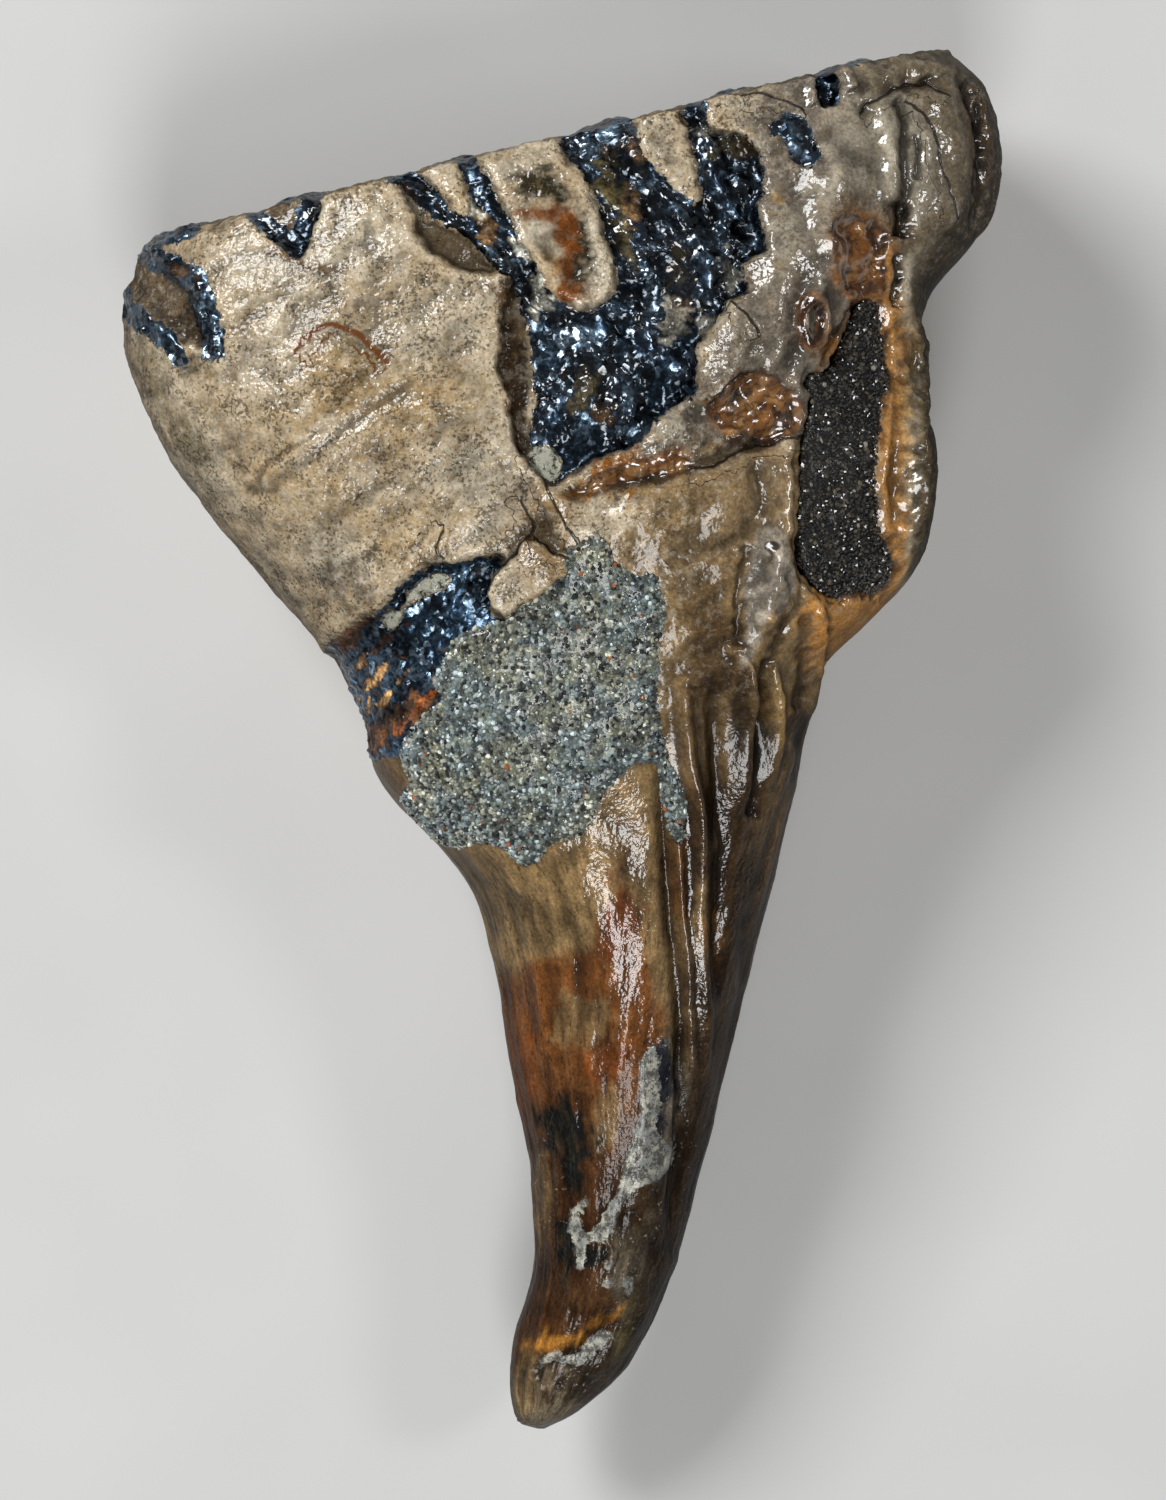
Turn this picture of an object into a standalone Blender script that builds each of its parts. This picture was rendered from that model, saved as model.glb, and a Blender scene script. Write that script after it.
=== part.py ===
"""Fossil mammoth molar: a worn front piece of a tooth with one long root, lying on its side.

Frame: metres, +Z up, +X along the chewing surface towards the front of the tooth, +Y from the root
tip towards the chewing surface. The origin is under the middle of the tooth, on the surface it lies on.

Three pieces: the tooth, which grew as one, a crust of grey sandstone stuck in a hollow of its side,
and the dark sand set hard in its open root canal.
"""

import bmesh
import bpy
import numpy as np
from mathutils import Vector, noise
from mathutils.bvhtree import BVHTree
from mathutils.geometry import delaunay_2d_cdt

# ---------------------------------------------------------------- driving dimensions, in millimetres

MM = 0.001                  # one millimetre in Blender's units
ENAMEL = 3.0                # thickness of one enamel band
PLATE = 9.0                 # thickness of one plate, over both its enamel bands
PLATE_PLACES = (6.0, 23.0, 44.5, 66.0, 84.0, 100.0)  # plate centres along the chewing edge, from the heel
PLATE_WIDTH_SHARE = 0.86    # a plate's width across the tooth, as a share of the tooth's own
ENAMEL_STANDS = 2.0         # enamel's height over the softer parts of the chewing surface
DENTINE_WORN = 1.0          # how far the dentine inside a loop is worn below the cement around it
CHEWING_ROUNDING = 1.6      # how far down the sides the chewing relief fades
RESTING_CUT = 0.9           # how deep the side that it lies on is worn flat
RESTING_PLACE = (2.0, 38.0)  # middle of that flat
RESTING_SPREAD = (36.0, 30.0)  # its reach along x and y
CRUST_DEPTH = 3.4           # sandstone below the tooth's surface
CRUST_STANDS = 0.9          # sandstone above it
CANAL_DEPTH = 9.0           # the canal's floor below the tooth's surface
FILL_SUNK = 1.3             # dark sand's top below the tooth's surface
JOINT_GAP = 0.35            # between two pieces

# Cross-sections from the root tip to the chewing edge. Each lies along a line from the heel side to the
# front side: both ends' x and y, the height of the tooth's widest line, its depth above and below that
# line, and how square the section is (2 is an ellipse).
SECTIONS = (
    (-3.6, -96.5, -2.4, -96.5, 17.0, 0.5, 0.5, 2.0),
    (-6.6, -94.9, 2.8, -93.6, 17.5, 5.5, 5.0, 2.0),
    (-7.6, -89.5, 9.0, -88.0, 18.0, 8.5, 8.0, 2.1),
    (-6.4, -81.5, 13.6, -79.5, 19.0, 10.5, 10.0, 2.1),
    (-3.9, -71.0, 17.6, -68.5, 20.5, 12.0, 11.5, 2.1),
    (-4.9, -58.5, 20.8, -56.0, 22.0, 13.5, 13.0, 2.2),
    (-7.3, -45.0, 24.0, -42.0, 23.5, 15.5, 14.5, 2.2),
    (-9.2, -32.0, 27.6, -27.5, 25.0, 17.5, 17.0, 2.2),
    (-12.0, -21.5, 30.4, -16.5, 26.0, 19.5, 20.0, 2.2),
    (-17.2, -14.0, 32.8, -7.0, 27.0, 21.5, 23.5, 2.3),
    (-24.6, -6.0, 34.6, 2.0, 28.0, 24.0, 27.0, 2.4),
    (-28.6, 4.0, 37.2, 11.5, 29.0, 26.0, 29.5, 2.5),
    (-33.4, 13.0, 44.8, 19.5, 29.5, 27.5, 30.5, 2.6),
    (-41.4, 23.5, 51.4, 29.5, 30.0, 28.5, 31.1, 2.7),
    (-50.2, 34.0, 52.5, 42.0, 30.0, 29.0, 31.1, 2.8),
    (-56.6, 44.0, 49.2, 54.0, 30.0, 29.0, 31.1, 2.9),
    (-60.4, 53.0, 51.4, 63.0, 30.0, 28.5, 31.1, 3.0),
    (-61.0, 60.0, 58.6, 72.0, 30.0, 28.0, 30.8, 3.0),
    (-60.6, 64.8, 60.8, 82.5, 30.0, 27.4, 30.2, 3.0),
    (-59.8, 67.6, 59.0, 92.0, 30.0, 26.6, 29.4, 3.0),
    (-58.0, 69.0, 54.6, 96.4, 30.0, 25.6, 28.4, 3.0),
)

# Outlines on the side that faces up, x and y in the tooth's own frame. Each is closed and smooth.
CRUST_OUTLINE = (
    (5.0, 27.0), (9.5, 23.5), (13.2, 23.6), (14.3, 17.0), (13.3, 9.0), (14.4, 1.5), (17.3, -6.5),
    (17.2, -12.0), (14.9, -10.5), (12.8, -3.4), (9.6, -2.4), (6.2, -7.4), (2.0, -12.0), (-4.4, -15.4),
    (-8.4, -13.4), (-14.0, -12.6), (-18.0, -10.6), (-21.0, -6.4), (-20.6, -0.6), (-16.8, 5.2),
    (-16.8, 9.2), (-12.6, 15.6), (-6.0, 19.4), (0.4, 25.4),
)
CANAL_OUTLINE = (
    (41.0, 61.0), (43.8, 60.0), (44.9, 54.0), (44.6, 47.0), (43.4, 37.0), (44.2, 29.0), (45.6, 25.0),
    (43.6, 21.6), (38.0, 20.6), (33.6, 23.0), (32.3, 27.0), (32.5, 37.0), (33.2, 46.5), (36.4, 52.0),
    (39.4, 57.5),
)
ENAMEL_WINDOW = (
    (-22.0, 82.0), (-19.2, 72.0), (-13.8, 67.2), (-8.8, 62.6), (-6.0, 56.8), (-4.2, 51.0), (-4.2, 44.6),
    (-3.0, 38.6), (-0.6, 35.8), (4.0, 37.6), (9.4, 40.4), (13.6, 43.6), (17.8, 48.6), (21.2, 55.6),
    (24.8, 62.6), (27.2, 68.4), (26.8, 74.4), (29.4, 79.4), (34.4, 80.0), (35.0, 85.0), (26.0, 96.0),
    (0.0, 92.0),
)
CEMENT_TONGUES = (
    ((-9.5, 84.0), (-6.4, 75.0), (-2.2, 68.6), (0.6, 61.0), (2.6, 57.6), (5.8, 62.0), (4.4, 69.0),
     (2.0, 76.0), (-0.6, 86.0)),
    ((10.4, 90.0), (13.2, 79.6), (16.4, 75.0), (19.0, 72.2), (19.8, 78.0), (18.2, 84.0), (17.6, 92.0)),
)
BLACK_WINDOW = (
    (-31.0, 13.0), (-26.2, 17.6), (-18.8, 22.4), (-9.0, 26.4), (-7.6, 22.4), (-9.4, 17.6), (-15.0, 11.0),
    (-17.4, 4.6), (-21.4, -0.4), (-25.2, -3.6), (-29.0, 0.4), (-31.4, 6.0),
)
HEEL_WINDOW = (
    (-61.5, 64.0), (-59.0, 57.0), (-54.0, 53.0), (-50.0, 52.4), (-46.6, 54.6), (-47.6, 61.0),
    (-50.4, 66.0), (-54.0, 72.0), (-62.0, 72.0),
)
NOTCH_WINDOW = ((-42.6, 75.0), (-39.6, 70.2), (-36.6, 67.2), (-34.0, 70.6), (-32.0, 77.0), (-37.0, 79.0))
AMBER_POCKETS = (
    ((35.6, 71.0), (39.6, 72.4), (43.0, 70.6), (43.6, 65.0), (41.0, 62.4), (38.0, 64.4), (36.2, 67.4)),
    ((33.4, 59.6), (35.2, 59.4), (35.4, 55.6), (34.2, 53.4), (32.8, 56.0)),
    ((21.6, 50.0), (25.4, 53.0), (29.6, 51.4), (31.4, 47.0), (27.4, 44.4), (22.6, 44.6)),
)

# Lines on the same side: the points, the height (below 0 is a groove) and the half-width.
RIDGES = (
    ("shoulder", ((41.0, 80.0), (34.0, 69.0), (26.5, 57.0), (18.5, 45.5)), 2.6, 5.5),
    ("canal crest", ((47.0, 66.0), (48.2, 56.0), (49.0, 46.0), (49.4, 36.0), (48.6, 27.0), (45.0, 20.0)), 1.9, 2.2),
    ("canal front groove", ((50.6, 53.0), (51.2, 46.0), (51.6, 36.0), (50.4, 29.0)), -1.0, 1.3),
    ("neck groove", ((-1.0, 35.2), (8.0, 36.0), (17.0, 38.0), (25.0, 41.0), (31.0, 43.0)), -2.6, 1.8),
    ("neck swell", ((-2.0, 29.0), (8.0, 31.0), (18.0, 34.0), (27.0, 36.0)), 1.8, 5.0),
    ("fold 1", ((43.6, 90.0), (45.6, 82.0), (46.6, 74.0), (46.8, 68.0)), 1.9, 2.0),
    ("fold 1 groove", ((46.0, 92.0), (49.2, 84.0), (49.8, 75.0), (49.2, 67.0)), -1.6, 1.5),
    ("fold 2", ((50.0, 92.0), (53.4, 84.0), (54.2, 76.0), (53.4, 68.0)), 1.6, 2.1),
    ("fold 2 groove", ((53.6, 93.0), (57.2, 84.0), (57.4, 76.0), (56.0, 68.0)), -1.8, 1.2),
    ("fold 3", ((57.0, 92.0), (59.8, 84.0), (59.8, 74.0)), 1.4, 1.5),
    ("outer root groove", ((13.6, 13.0), (15.8, -6.0), (17.6, -22.0), (18.4, -41.0), (17.6, -56.0), (13.6, -74.0)), -2.4, 1.5),
    ("middle root rib", ((20.0, 16.0), (19.8, -5.0), (20.4, -22.0), (20.6, -40.0), (19.8, -56.0)), 1.5, 1.7),
    ("inner root groove", ((24.6, 17.0), (25.4, 2.0), (24.2, -12.0), (22.6, -30.0), (21.0, -46.0)), -2.6, 1.8),
    ("front root rib", ((29.4, 18.0), (28.8, 4.0), (27.6, -12.0), (25.6, -28.0)), 1.5, 1.7),
    ("canal foot groove", ((34.0, 19.0), (32.6, 12.0), (31.6, 3.0)), -1.4, 1.2),
    ("root crest", ((1.0, -14.0), (8.0, -24.0), (10.4, -38.0), (9.6, -52.0)), 1.3, 4.5),
    ("tip groove", ((8.0, -79.0), (4.0, -83.0), (-1.0, -86.0), (-4.4, -88.6)), -1.0, 1.6),
    ("tip rib", ((15.0, -70.0), (10.4, -80.0), (4.0, -89.0)), 0.9, 2.0),
    ("heel wrinkle", ((-43.0, 34.0), (-35.0, 39.0), (-27.0, 45.0), (-19.0, 50.0)), -0.8, 1.5),
    ("plate 3 heel band", ((-19.6, 76.0), (-14.8, 69.6), (-9.0, 63.6), (-4.0, 56.6), (-0.6, 48.6)), 1.1, 1.5),
    ("plate 3 front band", ((-11.6, 78.4), (-7.6, 71.4), (-3.4, 65.0), (0.0, 57.0)), 1.1, 1.3),
    ("plate 4 heel band", ((0.6, 82.4), (5.4, 75.6), (10.0, 69.0), (13.6, 61.0), (11.6, 52.0)), 1.2, 1.6),
    ("plate 4 front band", ((9.6, 85.6), (12.4, 78.4), (16.6, 72.6), (20.6, 67.0), (19.0, 59.0)), 1.2, 1.6),
    ("plate 5 heel band", ((18.4, 86.0), (20.4, 80.0), (22.4, 74.0), (23.6, 67.0)), 1.1, 1.6),
)
KNOBS = (  # x, y, radius and height of each lump
    (29.4, 22.4, 3.4, 2.2),
    (34.2, 56.2, 1.4, 1.2),
    (-2.6, 23.6, 3.6, 1.6),
    (-36.0, 44.0, 9.0, 1.0),
)

# Upright ribs and hollows on the side that it lies on, each the buried edge of a plate.
BACK_RIBS = (
    ((-49.0, 66.0), (-43.0, 46.0), (-34.0, 26.0)),
    ((-32.0, 70.0), (-26.0, 48.0), (-20.0, 22.0)),
    ((-11.0, 76.0), (-8.0, 50.0), (-6.0, 20.0)),
    ((9.5, 80.0), (10.0, 52.0), (8.0, 18.0)),
    ((27.0, 85.0), (26.0, 56.0), (22.0, 20.0)),
    ((43.0, 89.0), (41.0, 60.0), (36.0, 24.0)),
)
BACK_ROOT_GROOVES = (
    ((-8.0, 14.0), (-2.0, -8.0), (4.0, -34.0), (6.0, -60.0)),
    ((20.0, 14.0), (18.0, -8.0), (16.0, -34.0), (12.0, -62.0)),
)

# ---------------------------------------------------------------- mesh fineness

ROWS = 190                  # rings from tip to chewing edge
HALF_COLUMNS = 120          # points along each half of a ring
CAP_ROWS = 44               # rows across the chewing surface
TOOTH_TRIANGLES = 7000      # what the tooth keeps once its flat stretches are thinned
CRUST_GRID = 2.6            # grid spacing of the sandstone's top
FILL_GRID = 2.0             # grid spacing of the dark sand's top


# ---------------------------------------------------------------- curves and fields

def spline(points, samples, closed=False):
    """A smooth curve through the points, each row with any number of values."""
    p = np.asarray(points, float)
    count = len(p)
    if closed:
        place = np.arange(samples) * count / samples
    else:
        place = np.linspace(0, count - 1, samples)
    first = np.minimum(place.astype(int), count - 1 if closed else count - 2)
    u = (place - first)[:, None]

    def at(i):
        return p[i % count] if closed else p[np.clip(i, 0, count - 1)]

    a, b, c, d = at(first - 1), at(first), at(first + 1), at(first + 2)
    return 0.5 * (2 * b + (c - a) * u + (2 * a - 5 * b + 4 * c - d) * u**2 + (3 * b - a - 3 * c + d) * u**3)


def smooth(value):
    """0 to 1, with level ends."""
    value = np.clip(value, 0, 1)
    return value * value * (3 - 2 * value)


def segments_distance(x, y, points):
    """Distance to a run of straight stretches, and the place along it from 0 to 1."""
    best = np.full(x.shape, 1e9)
    place = np.zeros(x.shape)
    spans = len(points) - 1
    for i in range(spans):
        a = points[i]
        d = points[i + 1] - a
        u = np.clip(((x - a[0]) * d[0] + (y - a[1]) * d[1]) / max(d @ d, 1e-9), 0, 1)
        far = np.hypot(x - a[0] - u * d[0], y - a[1] - u * d[1])
        near = far < best
        best = np.where(near, far, best)
        place = np.where(near, (i + u) / spans, place)
    return best, place


def inside_distance(x, y, outline):
    """Distance in from a closed outline, below 0 outside it."""
    ring = spline(outline, 6 * len(outline), closed=True)
    ring = np.vstack([ring, ring[:1]])
    far, _ = segments_distance(x, y, ring)
    odd = np.zeros(x.shape, bool)
    for (ax, ay), (bx, by) in zip(ring[:-1], ring[1:]):
        spans = (ay > y) != (by > y)
        crossing = ax + (y - ay) * (bx - ax) / (by - ay if by != ay else 1e-9)
        odd ^= spans & (x < crossing)
    return np.where(odd, far, -far)


def line_relief(x, y, points, height, half_width):
    """A rounded ridge or groove that fades at both its ends."""
    far, place = segments_distance(x, y, spline(points, 5 * len(points)))
    ends = smooth(place / 0.14) * smooth((1 - place) / 0.14)
    return height * ends * np.exp(-((far / half_width) ** 2))


def lumps(points, size):
    """Soft uneven swellings of about one size, from -1 to 1."""
    return np.array([noise.noise(Vector(p / size)) for p in points])


# ---------------------------------------------------------------- the tooth's relief, in millimetres

def up_side_relief(x, y):
    """What stands proud of or is sunk in the side that faces up."""
    height = -2.8 * smooth(inside_distance(x, y, ENAMEL_WINDOW) / 1.6 + 0.5)
    height += sum(2.0 * smooth(inside_distance(x, y, edge) / 1.6 + 0.4) for edge in CEMENT_TONGUES)
    height -= 2.2 * smooth(inside_distance(x, y, BLACK_WINDOW) / 1.6 + 0.5)
    height -= 1.6 * smooth(inside_distance(x, y, HEEL_WINDOW) / 1.6 + 0.5)
    height -= 1.8 * smooth(inside_distance(x, y, NOTCH_WINDOW) / 2.0 + 0.5)
    height -= sum(1.8 * smooth(inside_distance(x, y, edge) / 2.0 + 0.3) for edge in AMBER_POCKETS)
    height += sum(line_relief(x, y, *ridge) for _, *ridge in RIDGES)
    for knob_x, knob_y, radius, high in KNOBS:
        height += high * np.exp(-(np.hypot(x - knob_x, y - knob_y) / radius) ** 2)
    return height


def down_side_relief(x, y):
    """The buried plates' edges and the root's flutes, on the side that it lies on."""
    height = sum(line_relief(x, y, rib, 1.9, 4.6) for rib in BACK_RIBS)
    height += sum(line_relief(x, y, groove, -2.6, 3.0) for groove in BACK_ROOT_GROOVES)
    height += sum(line_relief(x, y, *ridge) for name, *ridge in RIDGES if name.startswith("fold"))
    return height - 1.0


def away_from_rest(x, y):
    """1 over most of the side that it lies on, falling to 0 where it is worn flat."""
    far = np.hypot((x - RESTING_PLACE[0]) / RESTING_SPREAD[0], (y - RESTING_PLACE[1]) / RESTING_SPREAD[1])
    return smooth((far - 0.7) / 0.5)


def chewing_relief(along, across, half_width):
    """Worn enamel loops standing over the softer dentine and cement of the chewing surface."""
    height = np.zeros(along.shape)
    for place in PLATE_PLACES:
        reach = PLATE_WIDTH_SHARE * half_width
        oval = (np.abs((along - place) / (PLATE / 2)) ** 2.4 + np.abs(across / reach) ** 2.4) ** (1 / 2.4)
        far = (oval - 1) * PLATE / 2
        height += ENAMEL_STANDS * np.exp(-(((far + ENAMEL / 2) / (ENAMEL * 0.45)) ** 2))
        height -= DENTINE_WORN * smooth(-far / ENAMEL - 0.6)
    return height


# ---------------------------------------------------------------- the tooth

def half_profile(squareness, count):
    """One half of a rounded section, evenly spaced: places across from -1 to 1, and heights 0 to 1."""
    angle = np.linspace(0, np.pi, 400)
    across = -np.sign(np.cos(angle)) * np.abs(np.cos(angle)) ** (2 / squareness)
    height = np.sin(angle) ** (2 / squareness)
    length = np.concatenate([[0], np.cumsum(np.hypot(np.diff(across) * 1.6, np.diff(height)))])
    even = np.linspace(0, length[-1], count + 1)
    return np.interp(even, length, across), np.interp(even, length, height)


def ring_points(section, with_relief):
    """One ring of the tooth: first over the up side, then back along the down side."""
    heel, front = section[0:2], section[2:4]
    rim, above, below, squareness = section[4:8]
    across, rise = half_profile(squareness, HALF_COLUMNS)
    across = np.concatenate([across[:-1], across[:0:-1]])
    rise = np.concatenate([rise[:-1], -rise[:0:-1]])
    middle = (heel + front) / 2
    half = (front - heel) / 2
    depth = np.where(rise > 0, above, below)
    x = middle[0] + half[0] * across
    y = middle[1] + half[1] * across
    z = rim + depth * rise
    if not with_relief:
        return np.stack([x, y, z], axis=1)
    width = max(np.hypot(*half), 1e-6)
    slope = np.stack([across / width, rise / np.maximum(depth, 1e-6)])
    slope /= np.maximum(np.hypot(*slope), 1e-9)
    up_share = smooth(rise / 0.7 + 0.5)
    height = up_share * up_side_relief(x, y) + (1 - up_share) * down_side_relief(x, y)
    points = np.stack([x, y, z], axis=1)
    height += 0.7 * lumps(points, 11.0) + 0.35 * lumps(points + 50, 4.5)
    height *= smooth(width / 8.0) * np.where(rise < 0, away_from_rest(x, y), 1.0)
    along = half / width
    points[:, 0] += slope[0] * along[0] * height
    points[:, 1] += slope[0] * along[1] * height
    points[:, 2] += slope[1] * height
    return points


def chewing_frame(sections):
    """The chewing edge's heel end, its direction, and the direction out of the tooth."""
    heel, front = sections[-1][0:2], sections[-1][2:4]
    along = (front - heel) / np.hypot(*(front - heel))
    return heel, along, np.array([-along[1], along[0]])


def add_chewing_relief(points, frame, rim, half_width):
    """Lifts points near the chewing surface by its relief, which fades down the sides."""
    heel, along, out = frame
    flat = points[:, :2] - heel
    depth = -flat @ out
    height = chewing_relief(flat @ along, points[:, 2] - rim, half_width)
    height *= np.exp(-((np.maximum(depth, 0) / CHEWING_ROUNDING) ** 2))
    points[:, :2] += height[:, None] * out
    return points


def chewing_cap(last_ring, frame):
    """Rows across the chewing surface, from the up side's edge to the down side's, doming a little."""
    top = last_ring[1:HALF_COLUMNS]
    bottom = last_ring[:HALF_COLUMNS:-1]
    rows = []
    for i in range(1, CAP_ROWS):
        share = i / CAP_ROWS
        row = top * (1 - share) + bottom * share
        row[:, :2] += 1.3 * np.sin(np.pi * share) ** 0.5 * frame[2]
        rows.append(row)
    return rows


def tooth_mesh(with_relief=True):
    """The whole tooth as one closed mesh: rings from the tip on, and a cap for the chewing surface."""
    sections = spline(SECTIONS, ROWS)
    frame = chewing_frame(sections)
    rim, half_width = sections[-1][4], sections[-1][5]
    rings = [ring_points(section, with_relief) for section in sections]
    cap = chewing_cap(rings[-1], frame)
    points = np.vstack(rings + cap)
    if with_relief:
        points = add_chewing_relief(points, frame, rim, half_width)
    ring_size = 2 * HALF_COLUMNS
    faces = []
    for r in range(ROWS - 1):
        for k in range(ring_size):
            a, b = r * ring_size + k, r * ring_size + (k + 1) % ring_size
            faces.append((a, b, b + ring_size, a + ring_size))
    faces.append(tuple(range(ring_size - 1, -1, -1)))
    faces += cap_faces((ROWS - 1) * ring_size, ring_size)
    return points, faces


def cap_faces(last, ring_size):
    """Faces that join the cap's rows to each other and to the last ring, which starts at that index."""
    inner = HALF_COLUMNS - 1
    first = last + ring_size
    rows = [[last + k for k in range(HALF_COLUMNS + 1)]]
    for i in range(CAP_ROWS - 1):
        row = [first + i * inner + k for k in range(inner)]
        rows.append([last] + row + [last + HALF_COLUMNS])
    rows.append([last] + [last + ring_size - k for k in range(1, HALF_COLUMNS)] + [last + HALF_COLUMNS])
    faces = []
    for upper, lower in zip(rows[:-1], rows[1:]):
        for k in range(HALF_COLUMNS):
            corners = (upper[k], upper[k + 1], lower[k + 1], lower[k])
            faces.append(tuple(dict.fromkeys(corners)))
    return faces


# ---------------------------------------------------------------- Blender objects

def make_object(name, points_mm, faces, material=None):
    """A mesh object from points in millimetres, with its faces pointing out."""
    mesh = bpy.data.meshes.new(name)
    mesh.from_pydata([tuple(p) for p in np.asarray(points_mm) * MM], [], faces)
    work = bmesh.new()
    work.from_mesh(mesh)
    bmesh.ops.recalc_face_normals(work, faces=work.faces)
    if work.calc_volume(signed=True) < 0:
        bmesh.ops.reverse_faces(work, faces=work.faces)
    bmesh.ops.triangulate(work, faces=work.faces)
    work.to_mesh(mesh)
    work.free()
    obj = bpy.data.objects.new(name, mesh)
    bpy.context.scene.collection.objects.link(obj)
    if material:
        mesh.materials.append(material)
        mesh.shade_smooth()
        mesh.set_sharp_from_angle(angle=0.7)
    return obj


def make_material(name, colour, roughness):
    """A plain stone-like finish."""
    material = bpy.data.materials.new(name)
    material.use_nodes = True
    shader = material.node_tree.nodes["Principled BSDF"]
    shader.inputs["Base Color"].default_value = (*colour, 1.0)
    shader.inputs["Roughness"].default_value = roughness
    shader.inputs["Metallic"].default_value = 0.0
    return material


def helper(obj):
    """Marks an object as a cutter that isn't part of the tooth."""
    obj.hide_render = True
    obj.display_type = "WIRE"
    return obj


def cut(obj, cutter):
    """Takes the cutter's shape out of the object."""
    modifier = obj.modifiers.new(cutter.name, "BOOLEAN")
    modifier.operation = "DIFFERENCE"
    modifier.solver = "EXACT"
    modifier.object = helper(cutter)


def filled_outline(outline, grid, grow=0.0):
    """An outline filled with triangles on a grid: flat points, triangles, and how many points its ring has.

    grow moves the ring out by that much.
    """
    ring = spline(outline, 2 * len(outline), closed=True)
    side = np.roll(ring, -1, axis=0) - np.roll(ring, 1, axis=0)
    outward = np.stack([side[:, 1], -side[:, 0]], axis=1) / np.hypot(*side.T)[:, None]
    area = np.sum(ring[:, 0] * np.roll(ring[:, 1], -1) - np.roll(ring[:, 0], -1) * ring[:, 1])
    ring = ring + np.sign(area) * outward * grow
    low, high = ring.min(0), ring.max(0)
    xs, ys = np.meshgrid(np.arange(low[0], high[0], grid), np.arange(low[1], high[1], grid))
    xs = xs + grid / 2 * (np.arange(len(xs)) % 2)[:, None]
    keep = inside_distance(xs.ravel(), ys.ravel(), outline) > 0.55 * grid
    inner = np.stack([xs.ravel()[keep], ys.ravel()[keep]], axis=1)
    flat = [Vector(p) for p in np.vstack([ring, inner])]
    edges = [(i, (i + 1) % len(ring)) for i in range(len(ring))]
    points, _, triangles, *_ = delaunay_2d_cdt(flat, edges, [], 1, 1e-6)
    return np.array([tuple(p) for p in points]), triangles, len(ring)


def pad(name, outline, grid, bottom, top, material=None, grow=0.0):
    """A closed body over an outline, between two height functions of the flat points."""
    flat, triangles, ring = filled_outline(outline, grid, grow)
    count = len(flat)
    points = np.vstack([
        np.column_stack([flat, bottom(flat)]),
        np.column_stack([flat, top(flat)]),
    ])
    faces = [tuple(t) for t in triangles] + [tuple(i + count for i in reversed(t)) for t in triangles]
    for i in range(ring):
        j = (i + 1) % ring
        faces.append((i, i + count, j + count, j))
    return make_object(name, points, faces, material)


class UpSide:
    """Height of the tooth's up side over flat points, read from its uncut mesh."""

    def __init__(self, points_mm, faces):
        self.tree = BVHTree.FromPolygons([tuple(p) for p in points_mm], faces)

    def __call__(self, flat):
        heights = []
        for x, y in flat:
            hit = self.tree.ray_cast(Vector((x, y, 200.0)), Vector((0, 0, -1)))[0]
            heights.append(hit.z if hit else 30.0)
        return np.array(heights)


def granular(flat, size, height):
    """Uneven grain lumps over flat points."""
    points = np.column_stack([flat, np.zeros(len(flat))])
    return height * lumps(points, size)


def resting_box():
    """What is worn off the side that it lies on: everything under the surface."""
    bpy.ops.mesh.primitive_cube_add(size=1, location=(0, 0, -0.05))
    box = bpy.context.object
    box.name = "resting_cut"
    box.data.transform(box.matrix_world)
    box.matrix_world.identity()
    for vertex in box.data.vertices:
        vertex.co.x *= 0.4
        vertex.co.y *= 0.4
        vertex.co.z = 0.0 if vertex.co.z > 0 else -0.1
    return box


def build():
    for old in list(bpy.data.objects):
        bpy.data.objects.remove(old)

    points, faces = tooth_mesh()
    bare_points, _ = tooth_mesh(with_relief=False)
    drop = points[:, 2].min() + RESTING_CUT
    points[:, 2] -= drop
    bare_points[:, 2] -= drop
    up_side = UpSide(points, faces)
    bare_up_side = UpSide(bare_points, faces)
    tooth = make_object("tooth", points, faces, make_material("fossil tooth", (0.36, 0.26, 0.16), 0.35))
    thin = tooth.modifiers.new("thin flat stretches", "DECIMATE")
    thin.ratio = TOOTH_TRIANGLES / len(tooth.data.polygons)
    cut(tooth, resting_box())

    def crust_floor(flat):
        return bare_up_side(flat) - CRUST_DEPTH

    def canal_floor(flat):
        return bare_up_side(flat) - CANAL_DEPTH

    def well_above(flat):
        return up_side(flat) + 12.0

    cut(tooth, pad("crust_hollow", CRUST_OUTLINE, CRUST_GRID, crust_floor, well_above, grow=JOINT_GAP))
    cut(tooth, pad("canal", CANAL_OUTLINE, FILL_GRID, canal_floor, well_above, grow=JOINT_GAP))

    pad(
        "sandstone_crust", CRUST_OUTLINE, CRUST_GRID,
        lambda flat: crust_floor(flat) + 2 * JOINT_GAP,
        lambda flat: up_side(flat) + CRUST_STANDS + granular(flat, 2.2, 0.5),
        make_material("grey sandstone", (0.30, 0.31, 0.27), 0.85),
    )
    pad(
        "canal_sand", CANAL_OUTLINE, FILL_GRID,
        lambda flat: canal_floor(flat) + 2 * JOINT_GAP,
        lambda flat: up_side(flat) - FILL_SUNK + granular(flat, 1.8, 0.4),
        make_material("dark set sand", (0.05, 0.043, 0.035), 0.6),
    )


build()
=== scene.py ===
import itertools
import math

import bmesh
import bpy
import numpy as np
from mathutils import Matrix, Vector
from mathutils.bvhtree import BVHTree
from mathutils.geometry import delaunay_2d_cdt


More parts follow.
